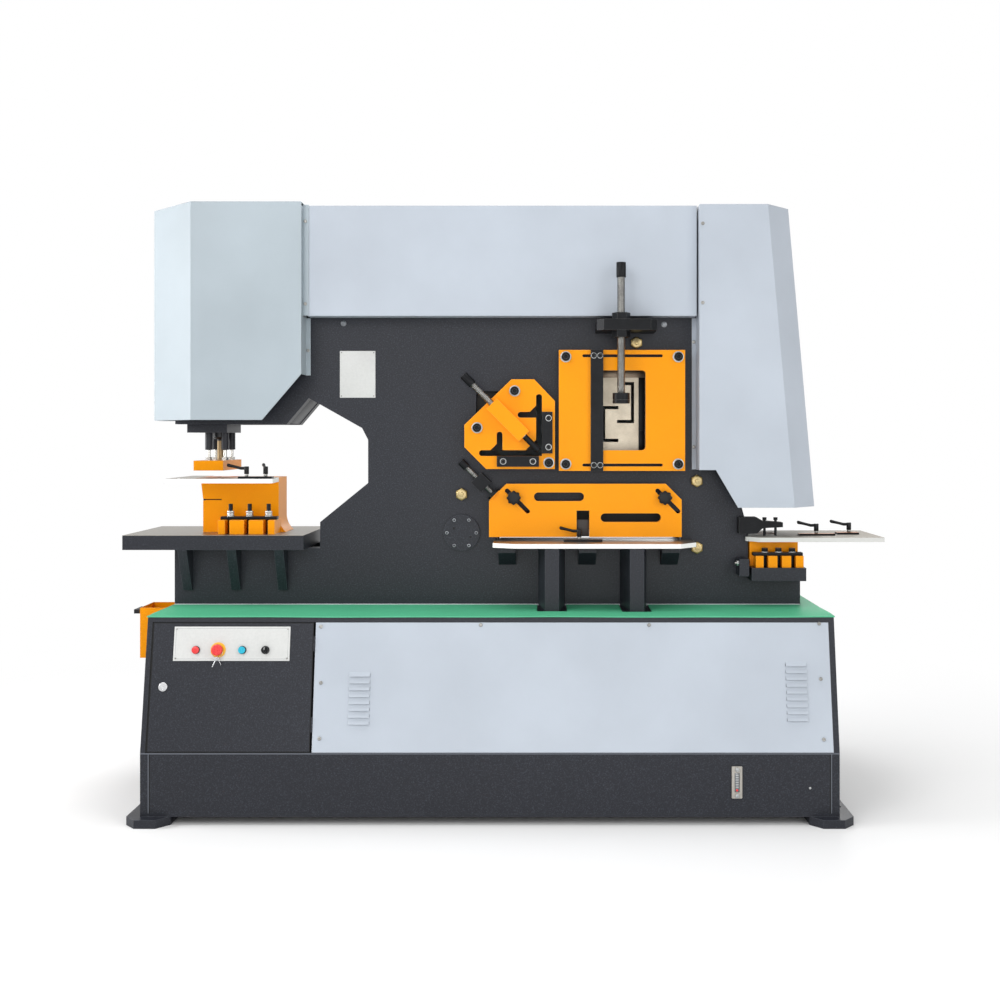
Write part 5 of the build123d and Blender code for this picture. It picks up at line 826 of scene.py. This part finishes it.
# The shelf adjuster: a turned steel set screw with its bright zinc nut, screwed into the block beside
# the notching shelf.
adjuster = repeat("shelf_adjuster", join("screw", [
    rod(5, -10, 15, turned_steel, 0.6, 24), rod(11, 0, 8, bright_zinc, 0.8, 6)]), [
    at(925, -204, 884) @ Matrix.Rotation(radians(-90), 4, "Y")])
fit(adjuster, "frame")


# The clamp levers: moulded black phenolic, a hub with a long arm that rises and thickens to its end, on
# a turned steel foot that screws down on a fence or a slide.
def clamp_lever(finish):
    """A clamp lever along X from its hub, which stands on Z = 0."""
    hub = rod(9, 9, 38, finish, 1.8, 28)
    foot = rod(7, 0, 9, turned_steel, 0.6, 24)
    root_radius, root_length, root_height = 5.8, 22, 31
    arm = start("cylinder", vertices=16, radius=root_radius * mm, depth=root_length * mm,
                location=(root_length / 2 * mm, 0, root_height * mm), rotation=(0, radians(90), 0))
    bpy.ops.object.transform_apply(location=True, rotation=True)
    pick_faces(arm, lambda face: face.normal.x > 0.9)
    arm_steps = ((18, 4.6, 0.92), (16, 3.8, 1.08), (12, 2.6, 1.16), (4, 0.8, 0.9), (2.2, 0.4, 0.55))
    for run, rise, grow in arm_steps:
        bpy.ops.mesh.extrude_region_move(TRANSFORM_OT_translate={"value": (run * mm, 0, rise * mm)})
        bpy.ops.transform.resize(value=(grow, grow, grow))
    bpy.ops.object.mode_set(mode="OBJECT")
    arm.data.materials.append(finish)
    return join("lever", [hub, foot, arm])


for name, x, y, z, turn in (
    ("punch_lever_left", -934, -199, 1211, 180),
    ("punch_lever_right", -862, -199, 1211, 110),
    ("shear_lever", 322, -226, 976, 180),
    ("first_notch_lever", 1241, -106, slide_top, 180),
    ("second_notch_lever", 1382, -50, slide_top, 180),
):
    dress(black_phenolic, name)
    lever = repeat(f"{name}_cast", clamp_lever(black_phenolic), [
        at(x, y, z) @ Matrix.Rotation(radians(turn), 4, "Z")])
    fit(lever, name)
    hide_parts(name)

# The studio: a pale matt floor that takes the part's shadow and turns to white away from it, under a
# white backdrop that lights the part less than it shows.
floor = start("plane", size=60)
floor.name = "studio_floor"
floor_paint, floor_shader, floor_place = new_finish("pale studio floor")
floor_shader.inputs["Base Color"].default_value = linear("#F4F4F4")
floor_shader.inputs["Roughness"].default_value = 0.9
floor_shader.inputs["Specular IOR Level"].default_value = 0.0
shadow_reach, white_from = 1.6, 3.6
white = linear("#FFFFFF")
reach = add_node(floor_paint, "ShaderNodeVectorMath", {0: floor_place}, operation="LENGTH")
fade = add_node(floor_paint, "ShaderNodeMapRange", {
    "Value": reach.outputs["Value"], "From Min": shadow_reach, "From Max": white_from},
    interpolation_type="SMOOTHSTEP")
eye = add_node(floor_paint, "ShaderNodeLightPath")
sight = add_node(floor_paint, "ShaderNodeMath", {
    0: eye.outputs["Is Camera Ray"], 1: eye.outputs["Is Glossy Ray"]}, operation="MAXIMUM")
share = add_node(floor_paint, "ShaderNodeMath", {
    0: fade.outputs["Result"], 1: sight.outputs[0]}, operation="MULTIPLY")
glow = add_node(floor_paint, "ShaderNodeEmission", {"Color": white})
blend = add_node(floor_paint, "ShaderNodeMixShader", {
    0: share.outputs[0], 1: floor_shader.outputs[0], 2: glow.outputs[0]})
floor_paint.node_tree.links.new(
    blend.outputs[0], floor_paint.node_tree.nodes["Material Output"].inputs["Surface"])
floor.data.materials.append(floor_paint)
world = bpy.data.worlds.new("studio")
bpy.context.scene.world = world
world.use_nodes = True
backdrop = world.node_tree.nodes["Background"]
backdrop.inputs["Color"].default_value = white
rays = add_node(world, "ShaderNodeLightPath")
seen = add_node(world, "ShaderNodeMath", {
    0: rays.outputs["Is Camera Ray"], 1: rays.outputs["Is Glossy Ray"]}, operation="MAXIMUM")
shown = add_node(world, "ShaderNodeMath", {
    0: seen.outputs[0], 1: rays.outputs["Is Transmission Ray"]}, operation="MAXIMUM")
level = add_node(world, "ShaderNodeMapRange", {"Value": shown.outputs[0], "To Min": 0.42, "To Max": 1.0})
world.node_tree.links.new(level.outputs["Result"], backdrop.inputs["Strength"])

# The lamps: six soft boxes in front, above, behind and at the left, at a plain level. Places and sizes
# are in metres, turns in degrees.
for name, place, turn, size, watts in (
    ("key_softbox", (-2.6, -4.2, 3.6), (52, 0, -32), 2.6, 80),
    ("fill_softbox", (3.6, -3.6, 2.4), (65, 0, 45), 2.6, 55),
    ("top_softbox", (0.0, 0.0, 5.0), (0, 0, 0), 3.0, 110),
    ("rim_softbox", (1.5, 4.5, 3.2), (-58, 0, -18), 2.4, 90),
    ("left_softbox", (-5.0, -0.6, 2.2), (80, 0, -90), 2.0, 125),
    ("low_softbox", (0.3, -5.6, 0.9), (88, 0, 0), 3.0, 55),
):
    lamp = bpy.data.lights.new(name, "AREA")
    lamp.size = size
    lamp.energy = watts
    holder = bpy.data.objects.new(name, lamp)
    holder.location = place
    holder.rotation_euler = [radians(a) for a in turn]
    bpy.context.scene.collection.objects.link(holder)

# The camera: level in front of the machine, at the place that the photograph was taken from, with the
# shift that its framing needs.
lens = bpy.data.cameras.new("photograph")
lens.sensor_width = 36
lens.lens = 40.36
lens.shift_x = -0.043
lens.shift_y = -0.063
camera = bpy.data.objects.new("photograph", lens)
camera.location = (0.186, -4.435, 1.360)
camera.rotation_euler = (radians(90), 0, 0)
bpy.context.scene.collection.objects.link(camera)
bpy.context.scene.camera = camera
bpy.context.scene.view_settings.view_transform = "Standard"
